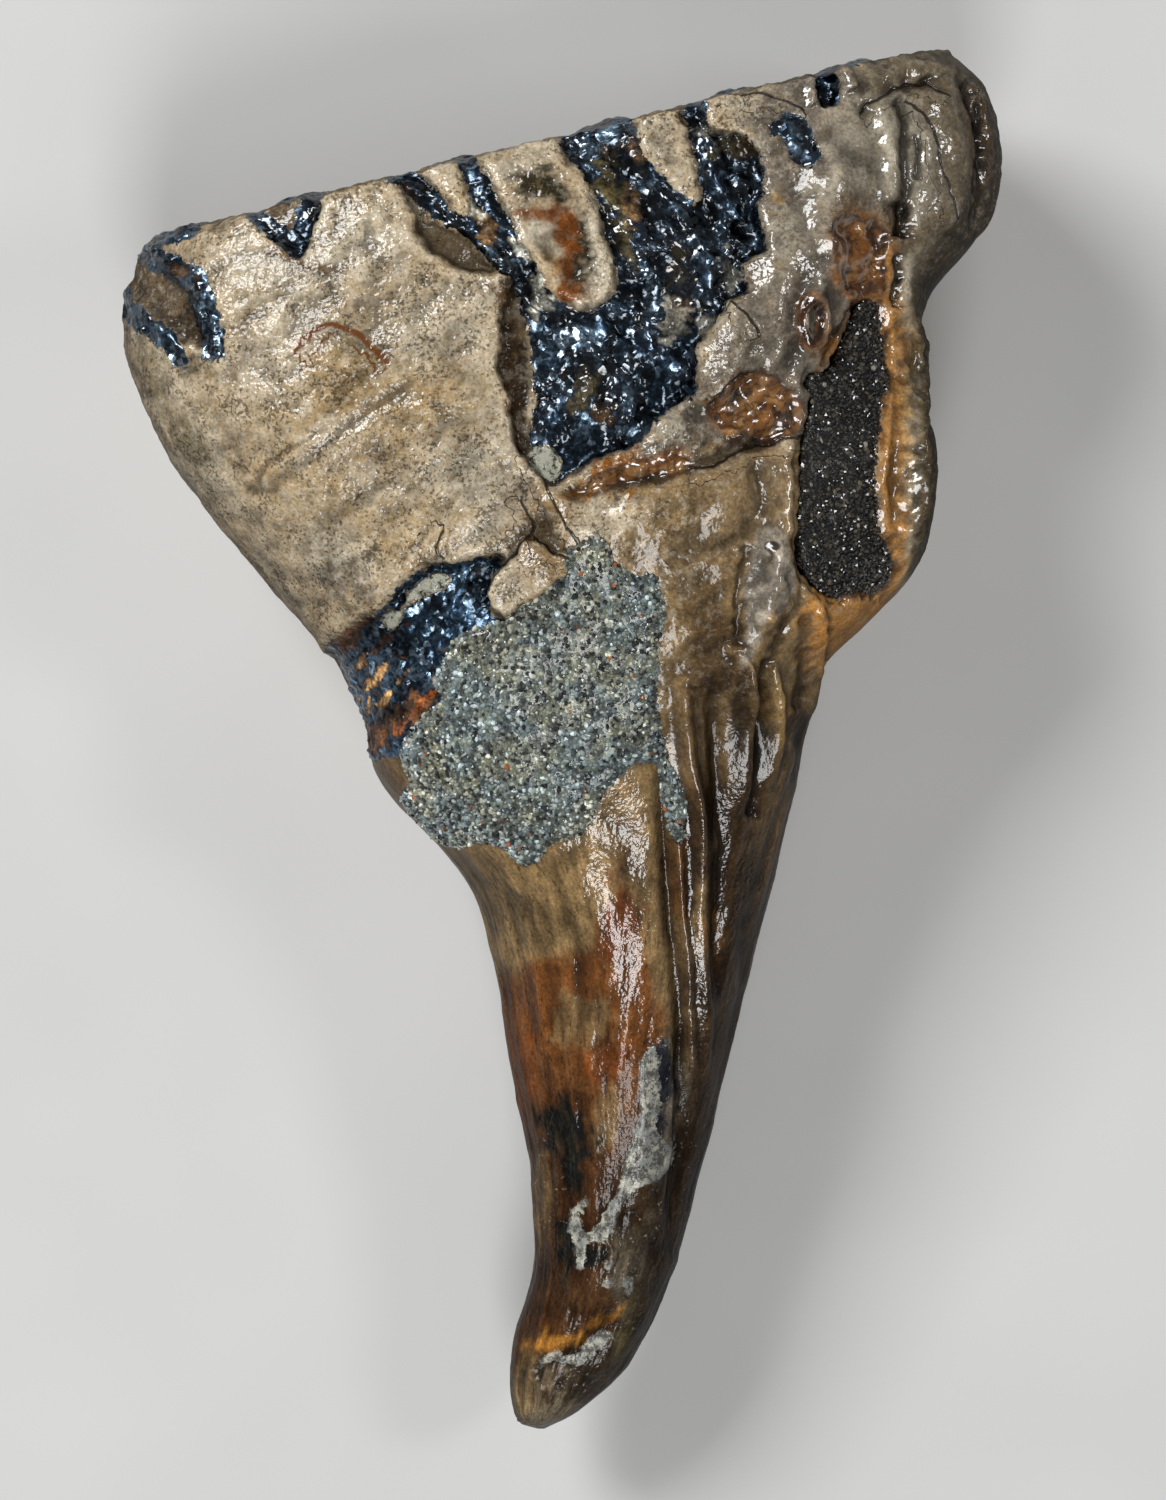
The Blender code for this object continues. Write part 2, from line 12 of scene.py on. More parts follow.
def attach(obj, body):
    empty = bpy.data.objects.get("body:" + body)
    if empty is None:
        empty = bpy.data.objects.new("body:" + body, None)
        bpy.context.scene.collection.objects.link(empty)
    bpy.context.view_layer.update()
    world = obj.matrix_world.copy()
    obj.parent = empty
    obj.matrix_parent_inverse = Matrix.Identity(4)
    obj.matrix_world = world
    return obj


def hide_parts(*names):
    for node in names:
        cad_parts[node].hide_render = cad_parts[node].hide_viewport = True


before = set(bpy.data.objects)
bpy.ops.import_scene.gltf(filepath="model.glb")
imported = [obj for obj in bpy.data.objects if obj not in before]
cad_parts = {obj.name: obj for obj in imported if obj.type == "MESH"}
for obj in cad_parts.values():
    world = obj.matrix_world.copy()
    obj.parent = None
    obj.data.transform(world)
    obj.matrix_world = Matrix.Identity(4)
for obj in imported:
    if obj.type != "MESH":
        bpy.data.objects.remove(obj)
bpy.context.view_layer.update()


# ================================================================ the tooth
# The worn front of a mammoth's molar with one long root. Plates of glassy enamel filled with dentine
# stand side by side in tan cement, and minerals have stained it all. It was coated with clear lacquer.

MM = 0.001                  # one millimetre in Blender's units
ENAMEL = 3.0                # thickness of one enamel band
PLATE = 9.0                 # thickness of one plate, over both its enamel bands
PLATE_PLACES = (6.0, 23.0, 44.5, 66.0, 84.0, 100.0)  # plate centres along the chewing edge, from the heel
PLATE_WIDTH_SHARE = 0.86    # a plate's width across the tooth, as a share of the tooth's own
ENAMEL_STANDS = 0.7         # enamel's height over the softer parts of the chewing surface
DENTINE_WORN = 0.7          # how far the dentine inside a loop is worn below the cement around it
CHEWING_ROUNDING = 1.6      # how far down the sides the chewing relief fades
CHEWING_DOME = 1.3          # how far the middle of the chewing surface stands out past its rim
RESTING_CUT = 0.9           # how deep the side that it lies on is worn flat
RESTING_PLACE = (2.0, 38.0)  # middle of that flat
RESTING_SPREAD = (36.0, 30.0)  # its reach along x and y
CRUST_HOLLOW = 1.6          # how deep the tooth is hollowed under the sandstone
CANAL_HOLLOW = 4.5          # how deep the root canal is open under its sand's edge
FILL_SUNK = 1.3             # dark sand's top below the tooth's surface

# Cross-sections from the root tip to the chewing edge. Each lies along a line from the heel side to the
# front side: both ends' x and y, the height of the tooth's widest line, its depth above and below that
# line, and how square the section is (2 is an ellipse). All in millimetres.
SECTIONS = (
    (-3.6, -96.5, -2.4, -96.5, 17.0, 0.5, 0.5, 2.0),
    (-6.6, -94.9, 2.8, -93.6, 17.5, 5.5, 5.0, 2.0),
    (-7.6, -89.5, 9.0, -88.0, 18.0, 8.5, 8.0, 2.1),
    (-6.4, -81.5, 13.6, -79.5, 19.0, 10.5, 10.0, 2.1),
    (-3.9, -71.0, 17.6, -68.5, 20.5, 12.0, 11.5, 2.1),
    (-4.9, -58.5, 20.8, -56.0, 22.0, 13.5, 13.0, 2.2),
    (-7.3, -45.0, 24.0, -42.0, 23.5, 15.5, 14.5, 2.2),
    (-9.2, -32.0, 27.6, -27.5, 25.0, 17.5, 17.0, 2.2),
    (-12.0, -21.5, 30.4, -16.5, 26.0, 19.5, 20.0, 2.2),
    (-17.2, -14.0, 32.8, -7.0, 27.0, 21.5, 23.5, 2.3),
    (-24.6, -6.0, 34.6, 2.0, 28.0, 24.0, 27.0, 2.4),
    (-28.6, 4.0, 37.2, 11.5, 29.0, 26.0, 29.5, 2.5),
    (-33.4, 13.0, 44.8, 19.5, 29.5, 27.5, 30.5, 2.6),
    (-41.4, 23.5, 51.4, 29.5, 30.0, 28.5, 31.1, 2.7),
    (-50.2, 34.0, 52.5, 42.0, 30.0, 29.0, 31.1, 2.8),
    (-56.6, 44.0, 49.2, 54.0, 30.0, 29.0, 31.1, 2.9),
    (-60.4, 53.0, 51.4, 63.0, 30.0, 28.5, 31.1, 3.0),
    (-61.0, 60.0, 58.6, 72.0, 30.0, 28.0, 30.8, 3.0),
    (-60.6, 64.8, 60.8, 82.5, 30.0, 27.4, 30.2, 3.0),
    (-59.8, 67.6, 59.0, 92.0, 30.0, 26.6, 29.4, 3.0),
    (-58.0, 69.0, 54.6, 96.4, 30.0, 25.6, 28.4, 3.0),
)

# Closed smooth outlines on the side that faces up, x and y in the tooth's own frame.
WINDOW_FRONT_EDGE = (  # where the bare enamel reaches to the edge of the broken window
    (9.0, 40.5), (11.7, 43.2), (14.9, 46.2), (17.6, 48.0), (18.5, 50.7), (18.4, 54.5), (20.0, 56.6),
    (22.9, 60.9), (25.3, 62.0), (24.5, 65.7), (27.8, 68.1), (26.9, 72.2), (27.5, 77.5), (26.6, 81.8),
)
BROKEN_WINDOW = (  # where the cement has come off the enamel
    (-22.8, 84.0), (-22.2, 77.6), (-20.4, 73.0), (-18.9, 68.3), (-14.0, 65.7), (-8.7, 64.8), (-7.3, 62.1),
    (-8.2, 57.9), (-8.5, 52.8), (-7.3, 48.1), (-6.2, 41.2), (-4.0, 38.4), (-1.6, 35.6), (2.6, 37.5),
    (5.3, 39.0), *WINDOW_FRONT_EDGE, (23.4, 83.8), (20.4, 84.8), (18.8, 90.0), (18.0, 97.0), (4.0, 96.0),
)
ENAMEL_FIELD = (
    (-23.4, 79.0), (-21.8, 76.6), (-18.8, 73.4), (-14.6, 70.4), (-11.2, 67.4), (-8.0, 64.4), (-5.6, 60.6),
    (-4.0, 56.1), (-3.9, 51.8), (-3.3, 47.0), (-4.1, 42.7), (-4.1, 38.6), (-1.4, 35.9), (2.6, 37.9),
    (5.3, 39.5), *WINDOW_FRONT_EDGE, (24.0, 83.6), (20.6, 84.6), (18.6, 92.0), (14.0, 93.0), (8.0, 92.0),
    (-1.6, 90.0), (-10.0, 90.0),
)
PALE_TONGUES = (  # cement left standing between the plates
    ((-12.6, 86.0), (-11.3, 80.2), (-9.4, 76.2), (-6.7, 71.2), (-3.9, 66.2), (-0.6, 61.6), (3.1, 59.5),
     (6.6, 61.0), (7.9, 63.8), (6.4, 69.3), (4.6, 74.8), (2.4, 78.6), (0.2, 81.2), (-1.6, 86.0)),
    ((9.8, 92.0), (10.0, 85.8), (10.6, 82.6), (12.8, 79.2), (15.6, 75.8), (18.6, 73.8), (18.9, 78.1),
     (17.6, 83.4), (16.8, 87.7), (16.0, 93.0)),
    ((-22.4, 82.0), (-20.9, 79.4), (-18.0, 76.8), (-15.0, 73.6), (-13.0, 72.0), (-12.6, 74.4), (-13.4, 77.6),
     (-15.4, 82.0)),
)
BROWN_POCKET = (
    (-20.2, 71.6), (-17.3, 71.4), (-13.5, 69.6), (-10.2, 66.8), (-8.4, 64.2), (-10.6, 64.4), (-14.6, 65.4),
    (-18.4, 67.8),
)
MATRIX_BIT = ((-4.4, 40.6), (-1.4, 40.6), (0.2, 38.2), (-1.0, 36.2), (-3.9, 37.6))
PLATE_2_LOOP = ((-43.6, 76.0), (-42.8, 72.4), (-39.6, 69.2), (-35.9, 66.6), (-33.9, 69.4), (-32.4, 74.0),
                (-33.0, 79.0))
PLATE_2_HEART = ((-41.0, 76.5), (-40.2, 73.4), (-37.9, 71.3), (-36.2, 71.4), (-36.0, 74.0), (-37.0, 77.5))
PLATE_1_HEART = (
    (-62.5, 67.0), (-60.0, 68.6), (-57.8, 69.0), (-54.6, 66.6), (-52.2, 64.6), (-50.2, 61.4), (-49.0, 57.8),
    (-47.6, 55.4), (-49.4, 54.6), (-52.4, 55.8), (-55.2, 57.9), (-58.0, 60.4), (-60.4, 63.0),
)
PLATE_1_ARMS = (  # its enamel on each side of the heart: a line, and half the enamel's width
    (((-61.6, 64.0), (-60.7, 62.3), (-59.7, 60.2), (-57.6, 58.6), (-55.3, 57.2), (-53.5, 55.6),
      (-52.1, 53.5)), 1.4),
    (((-58.0, 69.6), (-56.0, 67.4), (-53.0, 66.0), (-50.7, 64.6), (-49.5, 62.5), (-48.6, 59.3), (-47.2, 56.5),
      (-47.2, 54.4)), 1.6),
)
BLACK_WINDOW = (
    (-33.5, 13.0), (-29.2, 16.4), (-24.9, 18.9), (-21.9, 21.8), (-18.6, 24.6), (-14.4, 25.2), (-11.4, 26.0),
    (-8.4, 26.3), (-8.2, 24.8), (-9.5, 22.6), (-9.3, 19.6), (-7.6, 17.2), (-12.0, 12.0), (-14.6, 6.0),
    (-20.0, 0.5), (-21.9, -1.0), (-24.9, -1.4), (-27.6, -2.2), (-30.4, 0.0), (-33.5, 5.7),
)
BLACK_WINDOW_CREAM = (
    ((-21.6, 18.7), (-20.6, 21.4), (-17.9, 23.5), (-15.8, 23.6), (-15.4, 22.4), (-17.4, 21.1), (-20.0, 20.0)),
    ((-24.3, 18.1), (-23.0, 18.8), (-21.5, 18.1), (-22.7, 16.6), (-24.2, 17.0)),
)
FLAKE_ISLAND = (
    (-4.7, 28.4), (0.2, 26.2), (1.4, 24.4), (-1.6, 20.9), (-5.4, 19.0), (-8.0, 17.5), (-9.2, 18.8),
    (-9.6, 21.5), (-8.6, 23.9), (-6.5, 25.8),
)
CRUST_OUTLINE = (
    (0.2, 26.0), (2.1, 27.5), (5.5, 28.6), (6.6, 26.7), (7.3, 25.2), (10.0, 23.3), (12.6, 23.7),
    (13.3, 21.8), (14.1, 18.1), (13.2, 14.3), (13.3, 11.3), (13.0, 7.6), (13.3, 3.8), (14.1, 0.8),
    (14.8, -1.8), (16.3, -4.4), (17.1, -7.4), (17.1, -10.8), (16.3, -13.0), (15.0, -11.2), (14.1, -7.4),
    (13.0, -2.2), (10.7, -2.2), (8.8, -2.9), (5.8, -6.3), (4.0, -9.7), (2.5, -11.9), (-1.7, -13.0),
    (-2.8, -14.9), (-4.7, -16.0), (-6.5, -15.3), (-8.0, -13.8), (-11.4, -13.0), (-14.4, -13.8),
    (-16.7, -13.4), (-18.7, -12.1), (-20.9, -9.7), (-22.2, -7.4), (-21.5, -5.9), (-20.8, -4.4),
    (-21.7, -2.2), (-22.0, 0.1), (-20.0, 3.1), (-18.5, 5.0), (-16.5, 6.0), (-16.5, 8.0), (-17.6, 8.7),
    (-16.3, 11.3), (-14.4, 15.1), (-11.0, 16.6), (-7.7, 17.3), (-5.4, 19.4), (-2.4, 20.9), (0.6, 24.1),
)
CANAL_OUTLINE = (
    (41.0, 61.0), (43.2, 61.0), (44.0, 58.8), (44.3, 54.9), (44.9, 51.0), (44.0, 46.6), (43.7, 42.7),
    (43.2, 38.3), (43.2, 33.9), (43.7, 30.5), (45.1, 27.2), (45.1, 23.9), (43.2, 21.7), (40.4, 21.7),
    (37.7, 20.6), (35.4, 21.7), (32.7, 25.0), (32.4, 30.5), (32.7, 36.6), (33.2, 42.2), (34.3, 47.7),
    (33.4, 49.4), (34.1, 51.0), (36.6, 51.4), (38.2, 54.9), (39.9, 58.8),
)
PLATE_6_BLOB = ((28.0, 84.5), (31.0, 86.3), (33.3, 85.8), (35.0, 82.9), (34.4, 79.5), (32.0, 79.5),
                (30.2, 82.3))
BLACK_PIT = ((34.8, 94.0), (36.6, 94.2), (37.8, 90.6), (37.6, 88.0), (36.0, 87.2), (34.9, 89.4))
AMBER_POCKETS = (
    ((36.9, 70.6), (39.0, 72.4), (43.6, 71.6), (44.4, 68.4), (43.6, 63.6), (41.7, 61.6), (39.0, 62.0),
     (37.2, 65.7)),
    ((36.8, 56.5), (38.6, 59.3), (40.4, 60.6), (39.0, 56.1), (36.9, 52.2), (35.5, 52.6)),
    ((20.1, 46.4), (22.9, 49.7), (27.2, 51.3), (31.0, 49.1), (33.2, 47.0), (32.8, 43.2), (28.8, 41.9),
     (24.5, 42.7), (21.9, 43.8)),
    ((3.0, 35.2), (5.3, 37.3), (9.0, 38.1), (11.7, 39.5), (13.8, 40.0), (17.0, 39.5), (17.6, 37.6),
     (14.9, 36.8), (10.6, 36.6), (7.4, 35.2), (4.7, 34.0)),
)
PALE_SMEARS = (  # cream cement left on the root
    ((13.5, -40.0), (14.7, -39.6), (15.5, -41.1), (15.8, -47.5), (15.5, -51.3), (15.8, -55.0),
     (15.4, -58.0), (13.5, -60.3), (12.0, -62.5), (9.8, -64.0), (7.9, -65.5), (6.8, -68.0), (7.6, -70.9),
     (6.6, -72.6), (5.6, -71.9), (6.8, -70.2), (5.6, -68.9), (3.6, -69.4), (3.2, -72.4), (2.2, -72.6),
     (1.9, -69.4), (0.9, -67.8), (1.2, -65.0), (2.8, -62.7), (3.9, -63.3), (2.6, -65.2), (3.4, -67.4),
     (5.2, -66.2), (5.9, -64.8), (7.2, -62.5), (8.3, -59.5), (9.0, -56.1), (10.2, -53.1), (10.9, -49.4),
     (10.9, -45.6), (11.3, -42.6)),
    ((6.1, -73.5), (7.4, -74.2), (6.6, -75.4), (5.7, -74.8)),
    ((8.4, -74.5), (9.9, -74.0), (9.6, -76.6), (8.9, -76.2)),
    ((-3.4, -87.2), (-2.9, -85.6), (-0.7, -84.5), (0.8, -85.1), (2.3, -84.9), (3.6, -82.7), (6.8, -81.6),
     (6.8, -82.9), (4.6, -84.9), (3.1, -86.3), (1.6, -86.5), (-0.7, -85.9), (-2.0, -86.3)),
)

# Lines on the same side: the points, the height (below 0 is a groove) and the half-width.
RIDGES = (
    ("shoulder", ((41.0, 80.0), (34.0, 69.0), (26.5, 57.0), (18.5, 45.5)), 2.6, 5.5),
    ("canal crest", (
        (47.0, 66.0), (48.2, 56.0), (48.8, 46.0), (48.6, 36.0), (47.8, 27.0), (45.0, 20.0),
    ), 1.2, 2.2),
    ("crest edge", (
        (48.2, 60.0), (48.5, 54.0), (48.8, 48.0), (48.7, 40.0), (48.3, 33.0), (47.0, 25.0),
    ), 1.5, 0.8),
    ("grey drip", (
        (28.8, 30.4), (28.6, 24.4), (28.2, 19.4), (26.4, 13.4), (25.2, 8.6), (24.8, 2.0),
    ), 1.1, 1.7),
    ("drip's heel side", ((25.0, 28.0), (24.4, 22.0), (24.2, 16.0), (23.8, 10.0)), -0.7, 0.7),
    ("drip's front side", (
        (31.8, 29.0), (32.8, 24.0), (32.2, 19.4), (29.8, 15.0), (28.0, 9.0), (27.4, 1.0),
    ), -0.7, 0.7),
    ("heel crease", (
        (-42.3, 34.2), (-41.4, 37.0), (-38.6, 39.8), (-34.9, 41.6), (-31.2, 44.4),
    ), -0.35, 0.5),
    ("canal front groove", ((50.8, 53.0), (51.2, 46.0), (50.8, 36.0), (49.8, 29.0)), -0.9, 1.0),
    ("canal wall groove", ((45.8, 54.0), (46.2, 44.0), (45.8, 34.0), (46.6, 26.0)), -0.8, 1.0),
    ("neck groove", ((-1.0, 35.2), (8.0, 36.0), (17.0, 38.0), (25.0, 41.0), (31.0, 43.0)), -1.5, 1.1),
    ("neck swell", ((-2.0, 29.0), (8.0, 31.0), (18.0, 34.0), (27.0, 36.0)), 1.8, 5.0),
    ("fold 1", ((43.4, 90.0), (44.5, 84.0), (44.8, 79.0), (45.2, 74.0)), 1.3, 1.5),
    ("fold 1 groove", ((46.4, 90.0), (47.0, 84.0), (47.2, 78.0), (47.0, 72.0)), -0.7, 0.9),
    ("fold 2", ((51.0, 92.0), (53.2, 84.0), (53.8, 77.0), (53.0, 70.0)), 1.3, 2.8),
    ("fold 2 groove", ((55.2, 93.0), (57.3, 86.0), (57.6, 78.0), (56.4, 70.0)), -1.1, 0.9),
    ("fold 3", ((57.0, 93.0), (59.4, 86.0), (59.6, 77.0), (58.6, 71.0)), 0.8, 1.2),
    ("slot rim", ((49.8, 84.4), (50.0, 80.6), (50.0, 76.4)), 0.35, 0.8),
    ("outer root groove", (
        (13.4, 3.0), (14.3, -13.0), (15.5, -27.0), (16.6, -41.0), (16.6, -56.0), (13.6, -74.0),
    ), -1.2, 1.1),
    ("thin root rib", (
        (15.8, -10.0), (16.5, -20.0), (17.1, -28.0), (17.6, -37.0), (18.2, -48.0),
    ), 0.9, 0.6),
    ("outer root rib", (
        (16.2, 10.0), (16.8, 5.0), (17.6, -3.0), (19.0, -10.2), (19.2, -17.4), (19.1, -27.2), (19.7, -38.0),
        (19.6, -50.0),
    ), 1.4, 1.1),
    ("inner root groove", (
        (20.6, 11.0), (21.2, 4.0), (21.7, -4.9), (22.1, -13.8), (21.9, -24.0), (21.4, -36.0),
    ), -1.7, 1.2),
    ("inner root rib", ((23.4, 15.0), (24.3, 11.0), (25.4, 5.0), (25.3, -2.6), (24.9, -9.6)), 1.7, 1.1),
    ("root slot", ((28.4, 13.0), (27.8, 8.0), (27.6, 2.0), (26.8, -5.0), (26.0, -10.0)), -1.6, 1.1),
    ("front root rib", ((28.6, 12.0), (29.2, 8.0), (29.6, 1.4), (28.4, -5.4)), 1.6, 0.9),
    ("front root groove", (
        (34.4, 5.0), (32.6, -3.0), (29.6, -10.0), (27.0, -20.0), (24.8, -34.0),
    ), -0.9, 0.8),
    ("front root strand", ((33.0, 1.0), (30.6, -6.0), (28.2, -14.0), (26.2, -24.0)), 0.7, 0.9),
    ("canal foot rib", ((34.8, 20.4), (35.4, 15.0), (35.0, 10.0), (34.0, 4.0)), 1.3, 1.0),
    ("canal foot groove", ((33.2, 19.0), (33.3, 12.0), (32.4, 5.0)), -0.9, 0.8),
    ("second foot groove", ((37.0, 18.0), (37.1, 13.0), (36.4, 7.6)), -0.7, 0.7),
    ("root crest", (
        (1.0, -14.0), (8.0, -24.0), (10.4, -38.0), (9.6, -52.0), (7.6, -66.0), (4.0, -80.0),
    ), 1.3, 4.5),
    ("tip groove", ((8.0, -79.0), (4.0, -83.0), (-1.0, -86.0), (-4.4, -88.6)), -1.0, 1.6),
    ("tip rib", ((15.0, -70.0), (10.4, -80.0), (4.0, -89.0)), 0.9, 2.0),
    ("fold slot", ((48.7, 84.0), (48.9, 80.6), (49.0, 77.0)), -0.8, 0.5),
    ("canal slot", ((46.3, 68.0), (46.1, 64.0), (45.6, 60.0)), -1.2, 0.5),
    ("front recess", ((46.0, 74.6), (46.6, 71.6), (46.4, 69.4)), -1.4, 1.3),
    ("top crease", ((40.4, 85.9), (43.2, 88.7), (47.0, 90.4), (50.4, 90.9), (54.0, 89.2)), -0.8, 0.8),
    ("shoulder strand", ((38.0, 68.0), (34.4, 62.0), (30.4, 55.0), (27.4, 51.0)), 0.8, 1.2),
    ("pit heel rim", ((33.8, 93.4), (34.2, 90.4), (34.8, 87.4)), 1.0, 0.9),
    ("pit front rim", ((37.4, 94.6), (38.4, 92.0), (39.6, 89.6)), 1.3, 0.9),
    ("top shelf", ((41.0, 91.2), (46.0, 93.2), (51.0, 93.8), (54.6, 92.4)), 0.8, 1.2),
    ("heel wrinkle", ((-43.0, 34.0), (-35.0, 39.0), (-27.0, 45.0), (-19.0, 50.0)), -0.45, 1.1),
    ("plate 3 heel band", (
        (-22.1, 77.6), (-19.1, 75.5), (-15.9, 73.2), (-12.6, 70.4), (-9.4, 67.2), (-6.6, 63.9),
    ), 1.0, 1.4),
    ("plate 3 front band", (
        (-13.5, 79.9), (-11.2, 77.4), (-9.4, 73.2), (-7.1, 70.4), (-4.3, 67.2), (-1.5, 63.0), (1.3, 59.3),
    ), 1.0, 1.3),
    ("plate 4 heel band", ((0.6, 82.4), (5.4, 75.6), (10.0, 69.0), (13.6, 61.0), (11.6, 52.0)), 1.2, 1.6),
    ("plate 4 front band", ((9.6, 85.6), (12.4, 78.4), (16.6, 72.6), (20.6, 67.0), (19.0, 59.0)), 1.2, 1.6),
    ("plate 5 heel band", ((18.4, 86.0), (20.4, 80.0), (22.4, 74.0), (23.6, 67.0)), 1.1, 1.6),
)
KNOBS = (  # x, y, radius and height of each lump
    (5.4, 37.6, 1.8, 1.3), (10.8, 37.6, 1.2, 1.2), (14.4, 42.7, 2.4, 1.4), (14.2, 38.8, 1.2, 0.9),
    (8.4, 39.0, 1.1, 0.8), (12.6, 39.6, 1.0, 0.7), (3.0, 36.2, 0.9, 0.7), (17.4, 39.4, 1.0, 0.7),
    (9.3, 34.6, 0.7, 0.6), (24.0, 46.0, 1.2, 0.7), (26.6, 48.2, 1.3, 0.8), (28.6, 45.0, 1.2, 0.7),
    (30.2, 47.6, 1.2, 0.7), (26.0, 43.8, 1.0, 0.6), (39.4, 66.2, 1.7, 1.4), (41.8, 67.6, 1.3, 1.0),
    (42.8, 64.2, 1.1, 0.9), (5.5, 45.4, 1.2, 0.9), (34.3, 49.8, 1.3, 0.8), (40.6, 61.6, 1.6, 1.2),
    (36.6, 68.6, 1.8, 1.2), (40.8, 70.6, 1.2, 0.9), (41.2, 64.8, 1.0, 0.9), (37.4, 63.4, 1.0, 0.7),
    (22.4, 45.2, 1.0, 0.7), (28.4, 49.4, 1.1, 0.9), (31.0, 44.6, 0.9, 0.7), (29.6, 25.6, 2.2, 1.4),
    (29.2, 21.6, 2.2, 1.4), (28.0, 17.6, 1.4, 0.9), (34.2, 56.2, 1.4, 1.2), (-2.6, 23.6, 3.6, 1.6),
    (-36.0, 44.0, 9.0, 1.0),
)

DRIP_RING = (34.1, 57.8, 1.3, 2.3)  # a drip of resin that dried in a ring: its middle and its reach

# What stands proud of that side or is sunk in it: the outlines, the height (below 0 is sunk), how wide
# the edge slopes, and how much of the slope lies outside the outline.
STEPS = (
    ((BROKEN_WINDOW,), -2.5, 0.8, 0.4),
    (PALE_TONGUES, 1.5, 1.8, 0.3),
    ((BROWN_POCKET,), -0.9, 1.2, 0.3),
    ((FLAKE_ISLAND,), 1.7, 1.0, 0.4),
    ((PLATE_1_HEART,), -1.2, 2.0, 0.2),
    ((PLATE_2_LOOP,), -1.4, 1.6, 0.3),
    (AMBER_POCKETS[:1], -1.5, 2.0, 0.3),
    (AMBER_POCKETS[1:2], -1.5, 2.0, 0.3),
    (AMBER_POCKETS[2:3], -1.5, 2.0, 0.3),
    ((BLACK_PIT,), -2.4, 1.0, 0.3),
    ((PLATE_6_BLOB,), -0.5, 0.8, 0.4),
    (PALE_SMEARS, 0.25, 0.5, 0.3),
)

# Upright ribs on the side that it lies on, each the buried edge of a plate, and the root's grooves there.
BACK_RIBS = (
    ((-49.0, 66.0), (-43.0, 46.0), (-34.0, 26.0)),
    ((-32.0, 70.0), (-26.0, 48.0), (-20.0, 22.0)),
    ((-11.0, 76.0), (-8.0, 50.0), (-6.0, 20.0)),
    ((9.5, 80.0), (10.0, 52.0), (8.0, 18.0)),
    ((27.0, 85.0), (26.0, 56.0), (22.0, 20.0)),
    ((43.0, 89.0), (41.0, 60.0), (36.0, 24.0)),
)
BACK_ROOT_GROOVES = (
    ((-8.0, 14.0), (-2.0, -8.0), (4.0, -34.0), (6.0, -60.0)),
    ((20.0, 14.0), (18.0, -8.0), (16.0, -34.0), (12.0, -62.0)),
)

ROWS = 470                  # rings from tip to chewing edge
HALF_COLUMNS = 300          # points along each half of a ring
CAP_ROWS = 110              # rows across the chewing surface
TOOTH_TRIANGLES = 190000    # what the tooth keeps once its flat stretches are thinned


def spline(points, samples, closed=False):
    """A smooth curve through the points, each row with any number of values."""
    p = np.asarray(points, float)
    count = len(p)
    if closed:
        place = np.arange(samples) * count / samples
    else:
        place = np.linspace(0, count - 1, samples)
    first = np.minimum(place.astype(int), count - 1 if closed else count - 2)
    u = (place - first)[:, None]

    def at(i):
        """The point in a place, with the ends carried on."""
        return p[i % count] if closed else p[np.clip(i, 0, count - 1)]

    a, b, c, d = at(first - 1), at(first), at(first + 1), at(first + 2)
    return 0.5 * (2 * b + (c - a) * u + (2 * a - 5 * b + 4 * c - d) * u**2 + (3 * b - a - 3 * c + d) * u**3)


def smooth(value):
    """0 to 1, with level ends."""
    value = np.clip(value, 0, 1)
    return value * value * (3 - 2 * value)


def swell(points, size, seed):
    """Soft uneven swellings of about one size in millimetres, from -1 to 1."""
    chance = np.random.default_rng(seed)
    turn = chance.permutation(256)
    slopes = chance.normal(size=(256, 3))
    slopes /= np.linalg.norm(slopes, axis=1)[:, None]
    p = points / size
    cell = np.floor(p).astype(int)
    inner = p - cell
    weight = inner**3 * (inner * (inner * 6 - 15) + 10)
    total = np.zeros(len(p))
    for corner in itertools.product((0, 1), repeat=3):
        x, y, z = (cell + corner).T
        key = turn[(turn[(turn[x & 255] + y) & 255] + z) & 255]
        share = np.prod(np.where(corner, weight, 1 - weight), axis=1)
        total += share * np.sum((inner - corner) * slopes[key], axis=1)
    return 1.5 * total


def facets(points, size, seed):
    """Flat facets at all angles, as on broken glassy enamel: each point's height over its facet's middle."""
    chance = np.random.default_rng(seed)
    middles = chance.random((4096, 3))
    tilts = chance.normal(size=(4096, 3))
    p = points / size
    cell = np.floor(p).astype(int)
    nearest = np.full(len(p), 9.0)
    height = np.zeros(len(p))
    for corner in itertools.product((-1, 0, 1), repeat=3):
        there = cell + corner
        key = (there @ (73, 179, 283)) % 4096
        away = p - there - middles[key]
        far = np.sum(away * away, axis=1)
        near = far < nearest
        nearest = np.where(near, far, nearest)
        height = np.where(near, np.sum(away * tilts[key], axis=1), height)
    return height


def segments_distance(x, y, points):
    """Distance to a run of straight stretches, below 0 on its right, and the place along it from 0 to 1."""
    best = np.full(x.shape, 1e9)
    place = np.zeros(x.shape)
    side = np.ones(x.shape)
    spans = len(points) - 1
    for i in range(spans):
        a = points[i]
        d = points[i + 1] - a
        u = np.clip(((x - a[0]) * d[0] + (y - a[1]) * d[1]) / max(d @ d, 1e-9), 0, 1)
        far = np.hypot(x - a[0] - u * d[0], y - a[1] - u * d[1])
        near = far < best
        best = np.where(near, far, best)
        place = np.where(near, (i + u) / spans, place)
        side = np.where(near, np.where(d[0] * (y - a[1]) - d[1] * (x - a[0]) < 0, -1, 1), side)
    return best * side, place


def within(x, y, points, reach):
    """Which places are within reach of the box around some points."""
    low, high = np.min(points, axis=0) - reach, np.max(points, axis=0) + reach
    return (x > low[0]) & (x < high[0]) & (y > low[1]) & (y < high[1])


